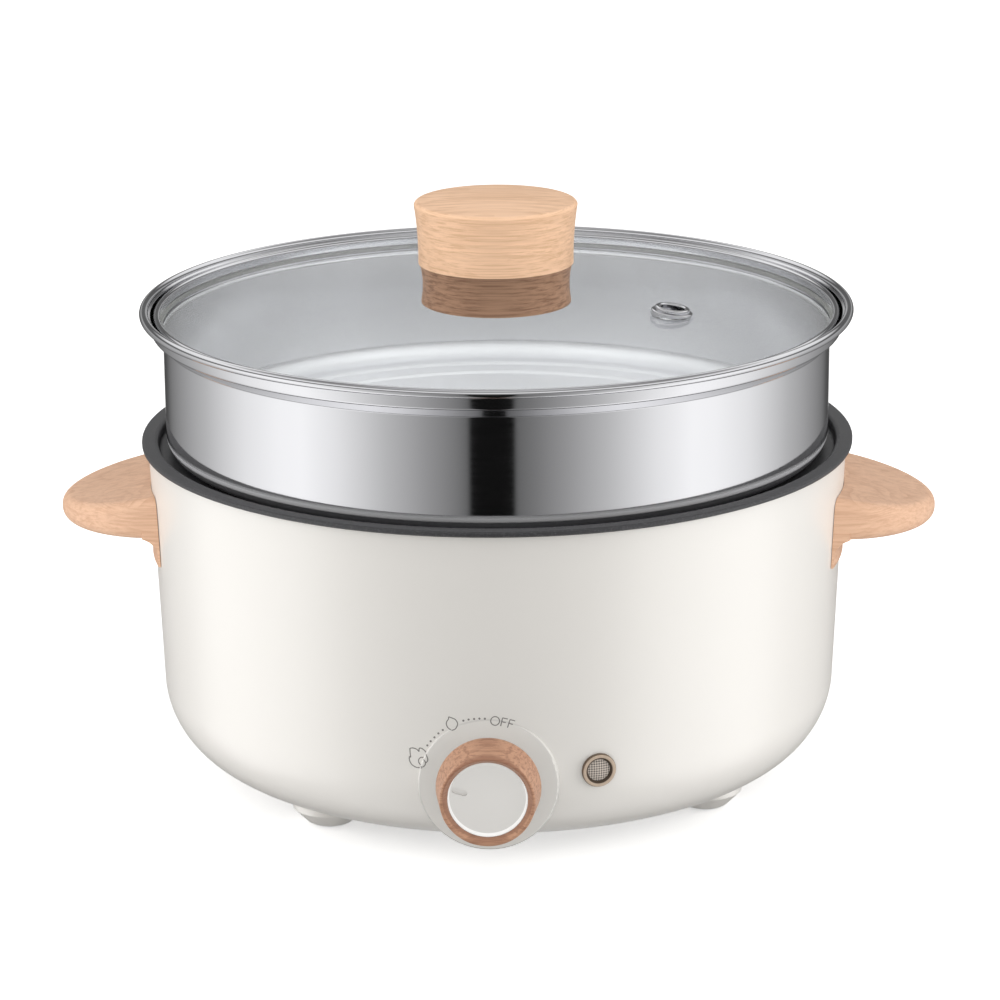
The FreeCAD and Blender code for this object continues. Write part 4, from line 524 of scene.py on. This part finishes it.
def straight_through(points, step):
    """Even points on straight lines from one given point to the next."""
    result = []
    for start, end in zip(points, points[1:]):
        start, end = Vector(start), Vector(end)
        pieces = max(1, round((end - start).length / step))
        result += [start.lerp(end, part / pieces) for part in range(pieces)]
    result.append(Vector(points[-1]))
    return result


def ribbon(mesh, tree, line, width, lift, closed=False):
    """A printed line: a flat strip with thin sides, laid on the wall."""
    rows = []
    count = len(line)
    for index, point in enumerate(line):
        if closed:
            ahead, behind = line[(index + 1) % count], line[index - 1]
        else:
            ahead, behind = line[min(index + 1, count - 1)], line[max(index - 1, 0)]
        way = (ahead - behind).normalized()
        side = Vector((-way.y, way.x)) * (width / 2)
        left, right = point + side, point - side
        corners = ((left, -lift), (left, lift), (right, lift), (right, -lift))
        rows.append([mesh.verts.new(on_wall(tree, spot.x, spot.y, height)) for spot, height in corners])
    joins = list(zip(rows, rows[1:])) + ([(rows[-1], rows[0])] if closed else [])
    for here, there in joins:
        for k in range(3):
            mesh.faces.new((here[k], here[k + 1], there[k + 1], there[k]))
    if not closed:
        mesh.faces.new(rows[0])
        mesh.faces.new(list(reversed(rows[-1])))


def dot(mesh, tree, across, up, radius, lift):
    """A printed dot."""
    sides = 20
    high, low = [], []
    for k in range(sides):
        turn = 2 * math.pi * k / sides
        x, y = across + radius * math.cos(turn), up + radius * math.sin(turn)
        high.append(mesh.verts.new(on_wall(tree, x, y, lift)))
        low.append(mesh.verts.new(on_wall(tree, x, y, -lift)))
    mesh.faces.new(high)
    for k in range(sides):
        mesh.faces.new((low[k], low[(k + 1) % sides], high[(k + 1) % sides], high[k]))


# The print, as arc lengths from the middle and heights on the wall in millimetres.
# First the four lines of the large flame, then the two of the small one.
FLAME_LINES = (
    ((-24.34, 43.10), (-25.69, 42.27), (-27.28, 42.31), (-28.85, 43.34), (-29.62, 44.93), (-29.60, 46.40)),
    ((-29.60, 46.40), (-29.10, 46.10), (-29.26, 47.60), (-29.34, 49.61)),
    ((-29.34, 49.61), (-28.22, 49.87), (-26.80, 49.49), (-25.86, 48.60)),
    ((-25.86, 48.60), (-25.75, 49.90), (-24.85, 49.95), (-23.75, 49.20), (-22.80, 48.05), (-22.28, 46.66),
     (-22.35, 45.66), (-22.94, 45.06)),
    ((-15.10, 61.45), (-15.42, 60.27), (-14.80, 58.72), (-13.36, 57.96), (-11.92, 58.62), (-11.23, 60.44),
     (-11.76, 61.74), (-12.52, 62.37), (-14.51, 63.05)),
    ((-14.51, 63.05), (-14.62, 62.10), (-15.10, 61.45)),
)
# Ovals by middle and half width and height: the ring in the large flame, and the letter O.
OVALS = (((-24.62, 44.84), (1.52, 1.6)), ((2.55, 61.72), (1.62, 1.72)))
# Radians from one point of an oval to the next, and the middles of the dots.
OVAL_STEP = 0.524
DOTS = (
    (-22.66, 51.28), (-21.37, 53.02), (-19.93, 54.66), (-18.40, 56.30), (-16.76, 57.74),
    (-9.09, 61.73), (-7.16, 62.21), (-5.13, 62.48), (-3.18, 62.67), (-1.20, 62.62),
)
# The strokes of the letter F about its middle, and the place and lean of each F.
F_STROKES = (((-0.95, -1.65), (-0.95, 1.65), (0.95, 1.65)), ((-0.95, 0.1), (0.6, 0.1)))
F_PLACES = (((5.85, 61.1), -13.0), ((8.45, 60.4), -17.0))


def scaled(points):
    """Points given in millimetres, in metres."""
    return [Vector(point) * MM for point in points]


def print_marks(settings):
    """The flames, dots and word that stand round the heat knob."""
    sizes = settings.sizes
    tree = wall_tree()
    mesh = bmesh.new()
    width, lift, step = sizes.mark_line, sizes.mark_lift, 0.35 * MM
    for points in FLAME_LINES:
        ribbon(mesh, tree, curve_through(scaled(points), step), width, lift)
    for (across, up), (wide, tall) in OVALS:
        turns = [k * OVAL_STEP for k in range(12)]
        points = scaled([(across + wide * math.cos(t), up + tall * math.sin(t)) for t in turns])
        ribbon(mesh, tree, curve_through(points, step, closed=True), width, lift, closed=True)
    for across, up in DOTS:
        dot(mesh, tree, across * MM, up * MM, sizes.mark_dot, lift)
    for middle, lean in F_PLACES:
        spin = Matrix.Rotation(math.radians(lean), 2)
        for stroke in F_STROKES:
            points = scaled([spin @ Vector(point) + Vector(middle) for point in stroke])
            ribbon(mesh, tree, straight_through(points, 0.4 * MM), width, lift)
    tone = settings.colours.print_grey
    recipe = Recipe("print_ink", base_color=tone, roughness=0.55)
    ink = recipe.noise(2600.0, detail=3.0)
    recipe.base(recipe.mix(recipe.spread(ink, 0.35, 0.75), shade(tone, 0.85), shade(tone, 1.5)))
    piece = finish_piece(mesh, "heat_marks", "base", recipe.material)
    for face in piece.data.polygons:
        face.use_smooth = False


def lamp_frame():
    """Placement with Z out of the wall at the lamp."""
    radius = WALL_FOOT_RADIUS + math.tan(WALL_LEAN) * (LAMP_HEIGHT - WALL_FOOT_HEIGHT)
    spot = Vector((radius * math.sin(LAMP_ANGLE), -radius * math.cos(LAMP_ANGLE), LAMP_HEIGHT))
    turn = Matrix.Rotation(LAMP_ANGLE, 4, "Z") @ Matrix.Rotation(math.radians(90) + WALL_LEAN, 4, "X")
    return Matrix.Translation(AXIS + spot) @ turn


def ribbed_lens(settings):
    """Domed lens whose face is cut into small prisms."""
    sizes = settings.sizes
    radius, top, low = 4.25 * MM, 1.05 * MM, -4.9 * MM
    rings, sides = 44, 132
    mesh = bmesh.new()
    rows = []
    for ring in range(rings + 1):
        across = radius * ring / rings
        row = []
        for k in range(sides if ring else 1):
            turn = 2 * math.pi * k / sides
            x, y = across * math.cos(turn), across * math.sin(turn)
            dome = top - 0.62 * MM * (across / radius) ** 2
            prism = abs((x / sizes.lens_pitch) % 1 - 0.5) + abs((y / sizes.lens_pitch) % 1 - 0.5)
            fade = min(1.0, (radius - across) / (0.5 * MM))
            row.append(mesh.verts.new((x, y, dome - sizes.lens_depth * prism * fade)))
        rows.append(row)
    for k in range(sides):
        mesh.faces.new((rows[0][0], rows[1][k], rows[1][(k + 1) % sides]))
    for here, there in zip(rows[1:], rows[2:]):
        for k in range(sides):
            n = (k + 1) % sides
            mesh.faces.new((here[k], there[k], there[n], here[n]))
    rim = rows[-1]
    base = [mesh.verts.new((v.co.x, v.co.y, low)) for v in rim]
    for k in range(sides):
        n = (k + 1) % sides
        mesh.faces.new((rim[k], base[k], base[n], rim[n]))
    mesh.faces.new(list(reversed(base)))
    mesh.transform(lamp_frame())
    tone = settings.colours.lens
    recipe = Recipe("lens_prisms", base_color=tone, roughness=0.2)
    cloud = recipe.noise(700.0, detail=2.0)
    along = recipe.vector("DOT_PRODUCT", recipe.place, (math.cos(LAMP_ANGLE), math.sin(LAMP_ANGLE), 0.0))
    height = recipe.parts()[2]
    # Painted glints and shade: the lens colour runs from dark to light cell by cell along the prisms.
    cells = [recipe.math("PINGPONG", way, sizes.lens_pitch / 2) for way in (along, height)]
    prism_glint_grid = recipe.math("DIVIDE", recipe.plus(cells[0], cells[1]), sizes.lens_pitch)
    recipe.base(recipe.mix(recipe.spread(prism_glint_grid, 0.3, 0.7), shade(tone, 0.3), shade(tone, 1.25)))
    recipe.rough(recipe.spread(cloud, 0.3, 0.7, 0.16, 0.28))
    piece = finish_piece(mesh, "lamp_lens_prisms", "base", recipe.material)
    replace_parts(piece, "lamp_lens")


def from_knob(recipe):
    """Distance from the heat knob's leaning axis."""
    away = recipe.vector("SUBTRACT", recipe.place, tuple(KNOB_CENTRE - AXIS))
    x, y, z = recipe.parts(away)
    lean = recipe.plus(recipe.times(z, math.cos(WALL_LEAN)), recipe.times(y, math.sin(WALL_LEAN)))
    return recipe.vector("LENGTH", recipe.joined(x, lean, 0.0))


def dial_disc(settings):
    """Moulded disc, its outer rim painted near white as a highlight."""
    tone = tuple(settings.colours.disc)
    recipe = Recipe("disc_moulding", base_color=tone, roughness=0.4)
    skin = recipe.noise(1300.0, detail=3.0, rough=0.6)
    # Painted highlight: a near-white ring all round the disc's outer rim.
    edge = recipe.spread(from_knob(recipe), 0.01395, 0.01415)
    cloud = recipe.mix(recipe.noise(60.0), shade(tone, 0.97), shade(tone, 1.02))
    recipe.base(recipe.mix(edge, cloud, (0.98, 0.97, 0.95)))
    recipe.rough(recipe.spread(skin, 0.25, 0.75, 0.36, 0.44))
    recipe.bump(skin, 0.00001)
    return recipe.material


def lamp_ring(settings):
    """Turned ring: a dark throat, a pale flange and a dark outer edge."""
    tone = tuple(settings.colours.bronze)
    recipe = Recipe("bezel_bronze", base_color=tone, metallic=0.25, roughness=0.4)
    turning = recipe.noise(900.0, detail=3.0)
    away = recipe.vector("SUBTRACT", recipe.place, tuple(lamp_frame().translation - AXIS))
    radius = recipe.vector("LENGTH", away)
    tint = recipe.mix(turning, shade(tone, 0.85), shade(tone, 1.2))
    tint = recipe.mix(recipe.spread(radius, 0.00515, 0.0054, 1.0, 0.0), tint, (0.075, 0.05, 0.032))
    tint = recipe.mix(recipe.spread(radius, 0.00635, 0.0065), tint, (0.16, 0.11, 0.07))
    recipe.base(tint)
    recipe.rough(recipe.spread(turning, 0.3, 0.7, 0.34, 0.46))
    return recipe.material


def dial_wood(settings):
    """Wood of the dial's ring, darker on the bevel that meets the disc."""
    colours = settings.colours
    recipe = beech("dial_beech", colours.dial_pale, colours.dial_vein, 0.0021, lean=-0.35, gloss=0.42,
                   contrast=0.6, streaks=1.0)
    bright = recipe.shader.inputs["Base Color"].links[0].from_socket
    inside = recipe.spread(from_knob(recipe), 0.01640, 0.01675, 1.0, 0.0)
    recipe.base(recipe.mix(recipe.times(inside, 0.62), bright, colours.dial_vein))
    return recipe.material


# -------------------------------------------------------------- operators


class HOTPOT_OT_housing(bpy.types.Operator):
    """Finish the moulded housing, its feet, its seal and the base cover"""

    bl_idname = "hotpot.housing"
    bl_label = "Housing"

    def execute(self, context):
        colours = context.scene.hotpot.colours
        recipe = Recipe("cream_moulding", base_color=colours.cream, roughness=0.34, coat_weight=0.5,
                        coat_roughness=0.3)
        cloud = recipe.noise(9.0, detail=3.0)
        tint = recipe.mix(cloud, shade(colours.cream, 0.985), shade(colours.cream, 1.012))
        radius, front = from_knob(recipe), recipe.spread(recipe.parts()[1], -0.09, -0.08, 1.0, 0.0)
        # Painted shade: a thin ring of the wall round the knob's boss, on the front only, is mixed to two
        # thirds of the housing's tone, fully at the bottom of the ring and about a third as much at its top.
        edge = recipe.times(
            recipe.spread(radius, 0.0254, 0.0256), recipe.spread(radius, 0.02615, 0.0263, 1.0, 0.0)
        )
        low = recipe.spread(recipe.parts()[2], 0.030, 0.042, 1.0, 0.35)
        edge = recipe.times(recipe.times(edge, front), low)
        recipe.base(recipe.mix(edge, tint, shade(colours.cream, 0.66)))
        skin = recipe.noise(820.0, detail=2.0)
        recipe.rough(recipe.spread(skin, 0.3, 0.7, 0.31, 0.37))
        recipe.bump(skin, 0.000006)
        dress("outer_shell", recipe.material)
        dress_all(("foot_pads", "rim_seal"), soft_rubber("pad_rubber", (0.035, 0.035, 0.036)))
        dress("base_cover", moulded("cover_moulding", (0.50, 0.48, 0.45), 0.55, 1500.0, 0.00006))
        return {"FINISHED"}


class HOTPOT_OT_marks(bpy.types.Operator):
    """Print the flames, the dots and the word round the heat knob"""

    bl_idname = "hotpot.marks"
    bl_label = "Heat marks"

    def execute(self, context):
        print_marks(context.scene.hotpot)
        return {"FINISHED"}


class HOTPOT_OT_handles(bpy.types.Operator):
    """Finish the ear handles in pale beech with knots near the housing"""

    bl_idname = "hotpot.handles"
    bl_label = "Ear handles"

    def execute(self, context):
        colours, sizes = context.scene.hotpot.colours, context.scene.hotpot.sizes
        for node, side in (("right_handle", 1), ("left_handle", -1)):
            knots = [
                (Vector((side * 0.1475, -0.030, 0.1150)), 0.0052, 3.6),
                (Vector((side * 0.1520, -0.034, 0.1085)), 0.0044, -2.4),
            ]
            recipe = beech(f"{node}_beech", colours.handle_pale, colours.handle_vein, sizes.vein_pitch,
                           knots, lean=0.05)
            dress(node, recipe.material)
        return {"FINISHED"}


class HOTPOT_OT_pot(bpy.types.Operator):
    """Coat the inner pot"""

    bl_idname = "hotpot.pot"
    bl_label = "Inner pot"

    def execute(self, context):
        tone = context.scene.hotpot.colours.coating
        recipe = Recipe("stone_coating", base_color=tone, roughness=0.36, specular_ior_level=0.6)
        fleck = recipe.noise(1500.0, detail=2.0)
        recipe.base(recipe.mix(recipe.spread(fleck, 0.5, 0.8), tone, shade(tone, 2.2)))
        recipe.rough(recipe.spread(fleck, 0.3, 0.7, 0.32, 0.42))
        recipe.bump(fleck, 0.00001)
        dress("inner_pot", recipe.material)
        return {"FINISHED"}


class HOTPOT_OT_steamer(bpy.types.Operator):
    """Polish the steamer pan"""

    bl_idname = "hotpot.steamer"
    bl_label = "Steamer pan"

    def execute(self, context):
        steamer_skin(polished_steel("pan_steel", context.scene.hotpot.colours.steel, SATIN_RADIUS))
        return {"FINISHED"}


class HOTPOT_OT_lid(bpy.types.Operator):
    """Finish the glass lid, its band, its seal and its vent"""

    bl_idname = "hotpot.lid"
    bl_label = "Lid"

    def execute(self, context):
        tone = context.scene.hotpot.colours.steel
        glass = Recipe("tempered_glass", base_color=(0.94, 0.955, 0.955), roughness=0.0,
                       transmission_weight=1.0, ior=1.45)
        smear = glass.noise(38.0, detail=3.0)
        glass.rough(glass.spread(smear, 0.35, 0.8, 0.0, 0.035))
        piece = dress("lid_glass", glass.material)
        piece.visible_shadow = False
        band_skin(polished_steel("band_steel", tone))
        dress("steam_vent", polished_steel("vent_steel", shade(tone, 1.05)))
        dress_all(("lid_seal", "foot_washer"), soft_rubber("clear_silicone", (0.60, 0.60, 0.57), 0.5))
        return {"FINISHED"}


class HOTPOT_OT_grip(bpy.types.Operator):
    """Finish the lid's knob: a pale cap, and a foot of the same wood painted darker brown as shade"""

    bl_idname = "hotpot.grip"
    bl_label = "Lid knob"

    def execute(self, context):
        colours, sizes = context.scene.hotpot.colours, context.scene.hotpot.sizes
        cap = beech("cap_beech", colours.cap_pale, colours.cap_vein, sizes.vein_pitch * 1.25, lean=0.16,
                    contrast=0.6, streaks=0.7, wrap=0.2276)
        # Painted shade: the foot gets the cap's wood in darker browns, for the side wall that lies in shade.
        foot = beech("foot_beech_shaded", colours.foot_shaded_pale, colours.foot_shaded_vein, sizes.vein_pitch * 0.7, lean=0.1,
                     contrast=0.7, streaks=1.0, wrap=0.3)
        for node, wood in (("grip_cap", cap), ("grip_foot", foot)):
            piece = dress(node, wood.material)
            piece.visible_glossy = piece.visible_transmission = False
        dress("grip_insert", satin_steel("insert_brass", (0.62, 0.46, 0.20), 0.32))
        return {"FINISHED"}


class HOTPOT_OT_dial(bpy.types.Operator):
    """Finish the heat knob, its disc and its spindle"""

    bl_idname = "hotpot.dial"
    bl_label = "Heat knob"

    def execute(self, context):
        settings = context.scene.hotpot
        dress("control_knob", dial_wood(settings)).visible_diffuse = False
        dress("knob_disc", dial_disc(settings))
        dress("control_spindle", satin_steel("spindle_steel", (0.55, 0.55, 0.55), 0.35))
        return {"FINISHED"}


class HOTPOT_OT_lamp(bpy.types.Operator):
    """Make the ribbed lens and finish the lamp's ring, bulb and nut"""

    bl_idname = "hotpot.lamp"
    bl_label = "Lamp"

    def execute(self, context):
        settings = context.scene.hotpot
        dress("lamp_bezel", lamp_ring(settings))
        ribbed_lens(settings)
        bulb = Recipe("bulb_glass", base_color=(0.95, 0.7, 0.45), roughness=0.05, transmission_weight=0.8)
        haze = bulb.noise(300.0, detail=2.0)
        bulb.rough(bulb.spread(haze, 0.3, 0.7, 0.03, 0.12))
        dress("lamp_bulb", bulb.material)
        dress("lamp_nut", satin_steel("nut_steel", (0.5, 0.5, 0.5), 0.4))
        return {"FINISHED"}


class HOTPOT_OT_inlet(bpy.types.Operator):
    """Finish the power inlet and the terminal block"""

    bl_idname = "hotpot.inlet"
    bl_label = "Power inlet"

    def execute(self, context):
        dress("inlet_housing", moulded("inlet_moulding", (0.022, 0.022, 0.023), 0.5, 1600.0, 0.00005, 0.15))
        dress("inlet_pins", satin_steel("pin_nickel", (0.72, 0.69, 0.62), 0.25, (900.0, 40.0, 40.0)))
        dress("terminal_block", moulded("block_moulding", (0.72, 0.71, 0.67), 0.5))
        return {"FINISHED"}


class HOTPOT_OT_heater(bpy.types.Operator):
    """Finish the heater, the limiter, the fuse and the thermostat inside the housing"""

    bl_idname = "hotpot.heater"
    bl_label = "Heater"

    def execute(self, context):
        dress("heating_plate", cast_metal("plate_alloy", (0.55, 0.55, 0.54), 0.45))
        dress("heating_element", cast_metal("element_sheath", (0.22, 0.21, 0.20), 0.55, 500.0, 0.00003))
        sheet = satin_steel("pressed_sheet", (0.62, 0.62, 0.61), 0.34)
        dress_all(("heat_shield", "thermostat_bracket"), sheet)
        ceramic = moulded("ceramic_body", (0.72, 0.66, 0.55), 0.6, 1100.0, 0.00003, 0.06)
        dress_all(("heat_limiter", "fuse_clip", "control_thermostat"), ceramic)
        dress("thermal_fuse", satin_steel("fuse_case", (0.66, 0.53, 0.26), 0.3))
        return {"FINISHED"}


class HOTPOT_OT_fasteners(bpy.types.Operator):
    """Finish the screws and the washer"""

    bl_idname = "hotpot.fasteners"
    bl_label = "Fasteners"

    def execute(self, context):
        zinc = satin_steel("zinc_steel", (0.58, 0.58, 0.57), 0.32, (500.0, 500.0, 500.0))
        dress_all((
            "base_cover_screws", "handle_screws", "clamp_screws", "thermostat_screws", "inlet_screws",
            "grip_screw", "under_washer",
        ), zinc)
        for node in ("grip_screw", "under_washer", "grip_insert", "foot_washer"):
            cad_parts[node].visible_glossy = False
        for node in ("grip_screw", "grip_insert"):
            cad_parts[node].visible_transmission = False
        return {"FINISHED"}


class HOTPOT_OT_stage(bpy.types.Operator):
    """Set the floor, the light round the pot, the side lamps and the camera"""

    bl_idname = "hotpot.stage"
    bl_label = "Studio"

    def execute(self, context):
        studio = context.scene.hotpot.studio
        make_floor(studio)
        make_world(studio)
        make_lamps(studio)
        make_camera()
        context.scene.view_settings.view_transform = "Standard"
        return {"FINISHED"}


def make_floor(studio):
    """A pale floor that keeps a soft shadow and shows white to the camera."""
    mesh = bmesh.new()
    bmesh.ops.create_circle(mesh, cap_ends=True, segments=96, radius=6.0)
    data = bpy.data.meshes.new("studio_floor")
    mesh.to_mesh(data)
    mesh.free()
    floor = bpy.data.objects.new("studio_floor", data)
    bpy.context.scene.collection.objects.link(floor)
    material = bpy.data.materials.new("studio_floor")
    material.use_nodes = True
    tree = Nodes(material.node_tree)
    nodes = tree.nodes
    nodes.clear()
    seen, thrown = nodes.new("ShaderNodeBsdfDiffuse"), nodes.new("ShaderNodeBsdfDiffuse")
    seen.inputs["Color"].default_value = (0.94, 0.94, 0.94, 1.0)
    thrown.inputs["Color"].default_value = (*(studio.floor_shade,) * 3, 1.0)
    glow, total = nodes.new("ShaderNodeEmission"), nodes.new("ShaderNodeAddShader")
    glow.inputs["Strength"].default_value = 0.48
    tree.links.new(seen.outputs[0], total.inputs[0])
    tree.links.new(glow.outputs[0], total.inputs[1])
    ray = nodes.new("ShaderNodeLightPath").outputs
    straight = tree.math("MAXIMUM", ray["Is Camera Ray"], ray["Is Transmission Ray"])
    shown = tree.mix_shaders(straight, thrown.outputs[0], total.outputs[0])
    tree.links.new(shown, nodes.new("ShaderNodeOutputMaterial").inputs["Surface"])
    data.materials.append(material)
    floor.visible_glossy = floor.visible_shadow = False


# Brightness of the studio in mirrors, by turn away from the front: (turn in degrees, level).
MIRROR_SIDES = (
    (7.3, 0.0035), (8.4, 0.133), (13.5, 0.195), (23.7, 0.314), (38.0, 0.513), (56.0, 0.832),
    (70.0, 1.0), (80.0, 0.973), (96.0, 0.832), (119.0, 0.487), (136.0, 0.319), (152.0, 0.18), (160.0, 0.085),
    (168.0, 0.05), (172.0, 0.44),
)
# How far the cards beside the dark one in front stand to one side, in degrees.
SIDE_SHIFT = 1.45
# Brightness in mirrors for rays that rise: (sine of the ray's elevation, level).
MIRROR_RISE = (
    (0.0, 0.31), (0.10, 0.42), (0.19, 0.12), (0.33, 0.09), (0.42, 0.75), (0.62, 0.88), (0.76, 0.35),
    (0.88, 0.22), (1.0, 0.55),
)
# Brightness for rays that pass the glass, by rise and by turn, and the factor on both.
GLASS_RISE = (
    (0.0, 0.45), (0.12, 0.60), (0.20, 0.82), (0.30, 0.92), (0.45, 0.90), (0.75, 1.0), (1.0, 0.92),
)
GLASS_SIDES = ((0.0, 0.85), (25.0, 0.88), (52.0, 1.0), (70.0, 1.0), (95.0, 0.74), (180.0, 0.66))
GLASS_LEVEL = 1.8


def make_world(studio):
    """White to the camera, even on matt surfaces, and a studio of light and dark cards in mirrors."""
    world = bpy.data.worlds.new("studio_light")
    bpy.context.scene.world = world
    world.use_nodes = True
    tree = Nodes(world.node_tree)
    nodes = tree.nodes
    nodes.clear()
    split = nodes.new("ShaderNodeSeparateXYZ")
    tree.links.new(nodes.new("ShaderNodeTexCoord").outputs["Generated"], split.inputs[0])
    across, along, up = split.outputs

    def card_ramp(stops, factor):
        node = nodes.new("ShaderNodeValToRGB")
        ramp = node.color_ramp
        for index, (spot, level) in enumerate(stops):
            stop = ramp.elements[index] if index < 2 else ramp.elements.new(spot)
            stop.position = spot
            stop.color = (level, level, level, 1.0)
        tree.links.new(factor, node.inputs[0])
        return node.outputs[0]

    turn = tree.math("ARCTAN2", across, tree.times(along, -1.0))
    stops = [(spot, SIDE_SHIFT if spot > 10 else 0, level) for spot, level in MIRROR_SIDES]
    left = [(180 - spot + shift, level) for spot, shift, level in reversed(stops)]
    right = [(180 + spot + shift, level) for spot, shift, level in stops]
    around = tree.math("DIVIDE", tree.plus(turn, math.pi), 2 * math.pi)
    sides = card_ramp([(spot / 360.0, level) for spot, level in left + right], around)
    cards = tree.mix(tree.spread(up, -0.04, 0.10), sides, card_ramp(MIRROR_RISE, up))
    aside = tree.math("DIVIDE", tree.math("ABSOLUTE", turn), math.pi)
    beside = card_ramp([(spot / 180.0, level) for spot, level in GLASS_SIDES], aside)
    through = tree.times(tree.times(card_ramp(GLASS_RISE, up), beside), GLASS_LEVEL)
    ray = nodes.new("ShaderNodeLightPath").outputs
    mirror, matt, white = (nodes.new("ShaderNodeBackground") for _ in range(3))
    tree.feed(mirror.inputs["Color"], tree.mix(ray["Is Transmission Ray"], cards, through))
    mirror.inputs["Strength"].default_value = 1.13
    matt.inputs["Color"].default_value = (1.0, 0.995, 0.985, 1.0)
    matt.inputs["Strength"].default_value = studio.sky
    white.inputs["Color"].default_value = (1.0, 1.0, 1.0, 1.0)
    glossy = tree.math("MAXIMUM", ray["Is Glossy Ray"], ray["Is Transmission Ray"])
    unseen = tree.mix_shaders(glossy, matt.outputs[0], mirror.outputs[0])
    seen = tree.mix_shaders(ray["Is Camera Ray"], unseen, white.outputs[0])
    tree.links.new(seen, nodes.new("ShaderNodeOutputWorld").inputs["Surface"])


def make_lamps(studio):
    """Soft lamps, two panels that only the housing mirrors, and a fill on pale wood and the disc."""
    target = AXIS + Vector((0.0, 0.0, 0.09))
    mirrored = bpy.data.collections.new("mirrors_the_panels")
    mirrored.objects.link(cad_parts["outer_shell"])
    filled = bpy.data.collections.new("lit_by_the_fill")
    for node in ("grip_cap", "right_handle", "left_handle", "knob_disc"):
        filled.objects.link(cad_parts[node])
    # Name, turn from the front and rise in degrees, distance, width and height in metres, watts.
    for name, turn, rise, away, width, tall, power in (
        ("lamp_left", -82.0, 10.0, 1.25, 0.75, 0.82, studio.side_light),
        ("lamp_right", 82.0, 10.0, 1.25, 0.75, 0.82, studio.side_light),
        ("lamp_above", 0.0, 78.0, 1.3, 0.9, 0.99, studio.side_light * 0.5),
        ("panel_left", -82.0, -12.0, 1.25, 1.3, 1.5, studio.sheen_light),
        ("panel_right", 72.0, -12.0, 1.25, 1.3, 1.5, studio.sheen_light),
        ("fill", 0.0, 8.0, 1.4, 0.8, 0.8, studio.fill_light),
    ):
        data = bpy.data.lights.new(name, "AREA")
        data.shape = "RECTANGLE"
        data.size = width
        data.size_y = tall
        data.energy = power
        lamp = bpy.data.objects.new(name, data)
        a, e = math.radians(turn), math.radians(rise)
        back = Vector((math.sin(a) * math.cos(e), -math.cos(a) * math.cos(e), math.sin(e)))
        lamp.location = target + back * away
        lamp.rotation_euler = (-back).to_track_quat("-Z", "Y").to_euler()
        lamp.visible_transmission = False
        panel = name.startswith("panel")
        lamp.visible_glossy, lamp.visible_diffuse = panel, not panel
        if panel:
            lamp.light_linking.receiver_collection = mirrored
        if name == "fill":
            lamp.light_linking.receiver_collection = filled
        bpy.context.scene.collection.objects.link(lamp)


def make_camera():
    """A long lens in front of the pot, a little above it."""
    drop, away = math.radians(16.45), 1.5
    spot = Vector((0.00094, -away * math.cos(drop), 0.1065 + away * math.sin(drop)))
    data = bpy.data.cameras.new("camera")
    data.lens = 3.771 * data.sensor_width
    data.clip_start = 0.05
    camera = bpy.data.objects.new("camera", data)
    camera.matrix_world = (
        Matrix.Translation(AXIS)
        @ Matrix.Rotation(math.radians(1.68), 4, "Z")
        @ Matrix.Translation(spot)
        @ Matrix.Rotation(math.radians(90) - drop, 4, "X")
        @ Matrix.Rotation(math.radians(-0.38), 4, "Z")
    )
    bpy.context.scene.collection.objects.link(camera)
    bpy.context.scene.camera = camera


OPERATORS = (
    HOTPOT_OT_housing,
    HOTPOT_OT_marks,
    HOTPOT_OT_handles,
    HOTPOT_OT_pot,
    HOTPOT_OT_steamer,
    HOTPOT_OT_lid,
    HOTPOT_OT_grip,
    HOTPOT_OT_dial,
    HOTPOT_OT_lamp,
    HOTPOT_OT_inlet,
    HOTPOT_OT_heater,
    HOTPOT_OT_fasteners,
    HOTPOT_OT_stage,
)


class HotPotSettings(bpy.types.PropertyGroup):
    """Everything that the panel shows."""

    colours: bpy.props.PointerProperty(name="Colours", description="Colours", type=HotPotColours)
    sizes: bpy.props.PointerProperty(name="Sizes", description="Fine sizes", type=HotPotSizes)
    studio: bpy.props.PointerProperty(name="Studio", description="Light and floor", type=HotPotStudio)


class HOTPOT_PT_panel(bpy.types.Panel):
    """Sidebar panel with the settings and the steps"""

    bl_idname = "HOTPOT_PT_panel"
    bl_label = "Hot Pot"
    bl_space_type = "VIEW_3D"
    bl_region_type = "UI"
    bl_category = "Hot Pot"

    def draw(self, context):
        settings = context.scene.hotpot
        for group in (settings.colours, settings.sizes, settings.studio):
            box = self.layout.box()
            for name in group.bl_rna.properties.keys():
                if name not in ("rna_type", "name"):
                    box.prop(group, name)
        for operator in OPERATORS:
            self.layout.operator(operator.bl_idname)


CLASSES = (HotPotColours, HotPotSizes, HotPotStudio, HotPotSettings, *OPERATORS, HOTPOT_PT_panel)


def register():
    for item in CLASSES:
        bpy.utils.register_class(item)
    bpy.types.Scene.hotpot = bpy.props.PointerProperty(type=HotPotSettings)


def unregister():
    del bpy.types.Scene.hotpot
    for item in reversed(CLASSES):
        bpy.utils.unregister_class(item)


def main():
    register()
    for operator in OPERATORS:
        group, name = operator.bl_idname.split(".")
        getattr(getattr(bpy.ops, group), name)()
    bpy.context.view_layer.update()


if __name__ == "__main__":
    main()
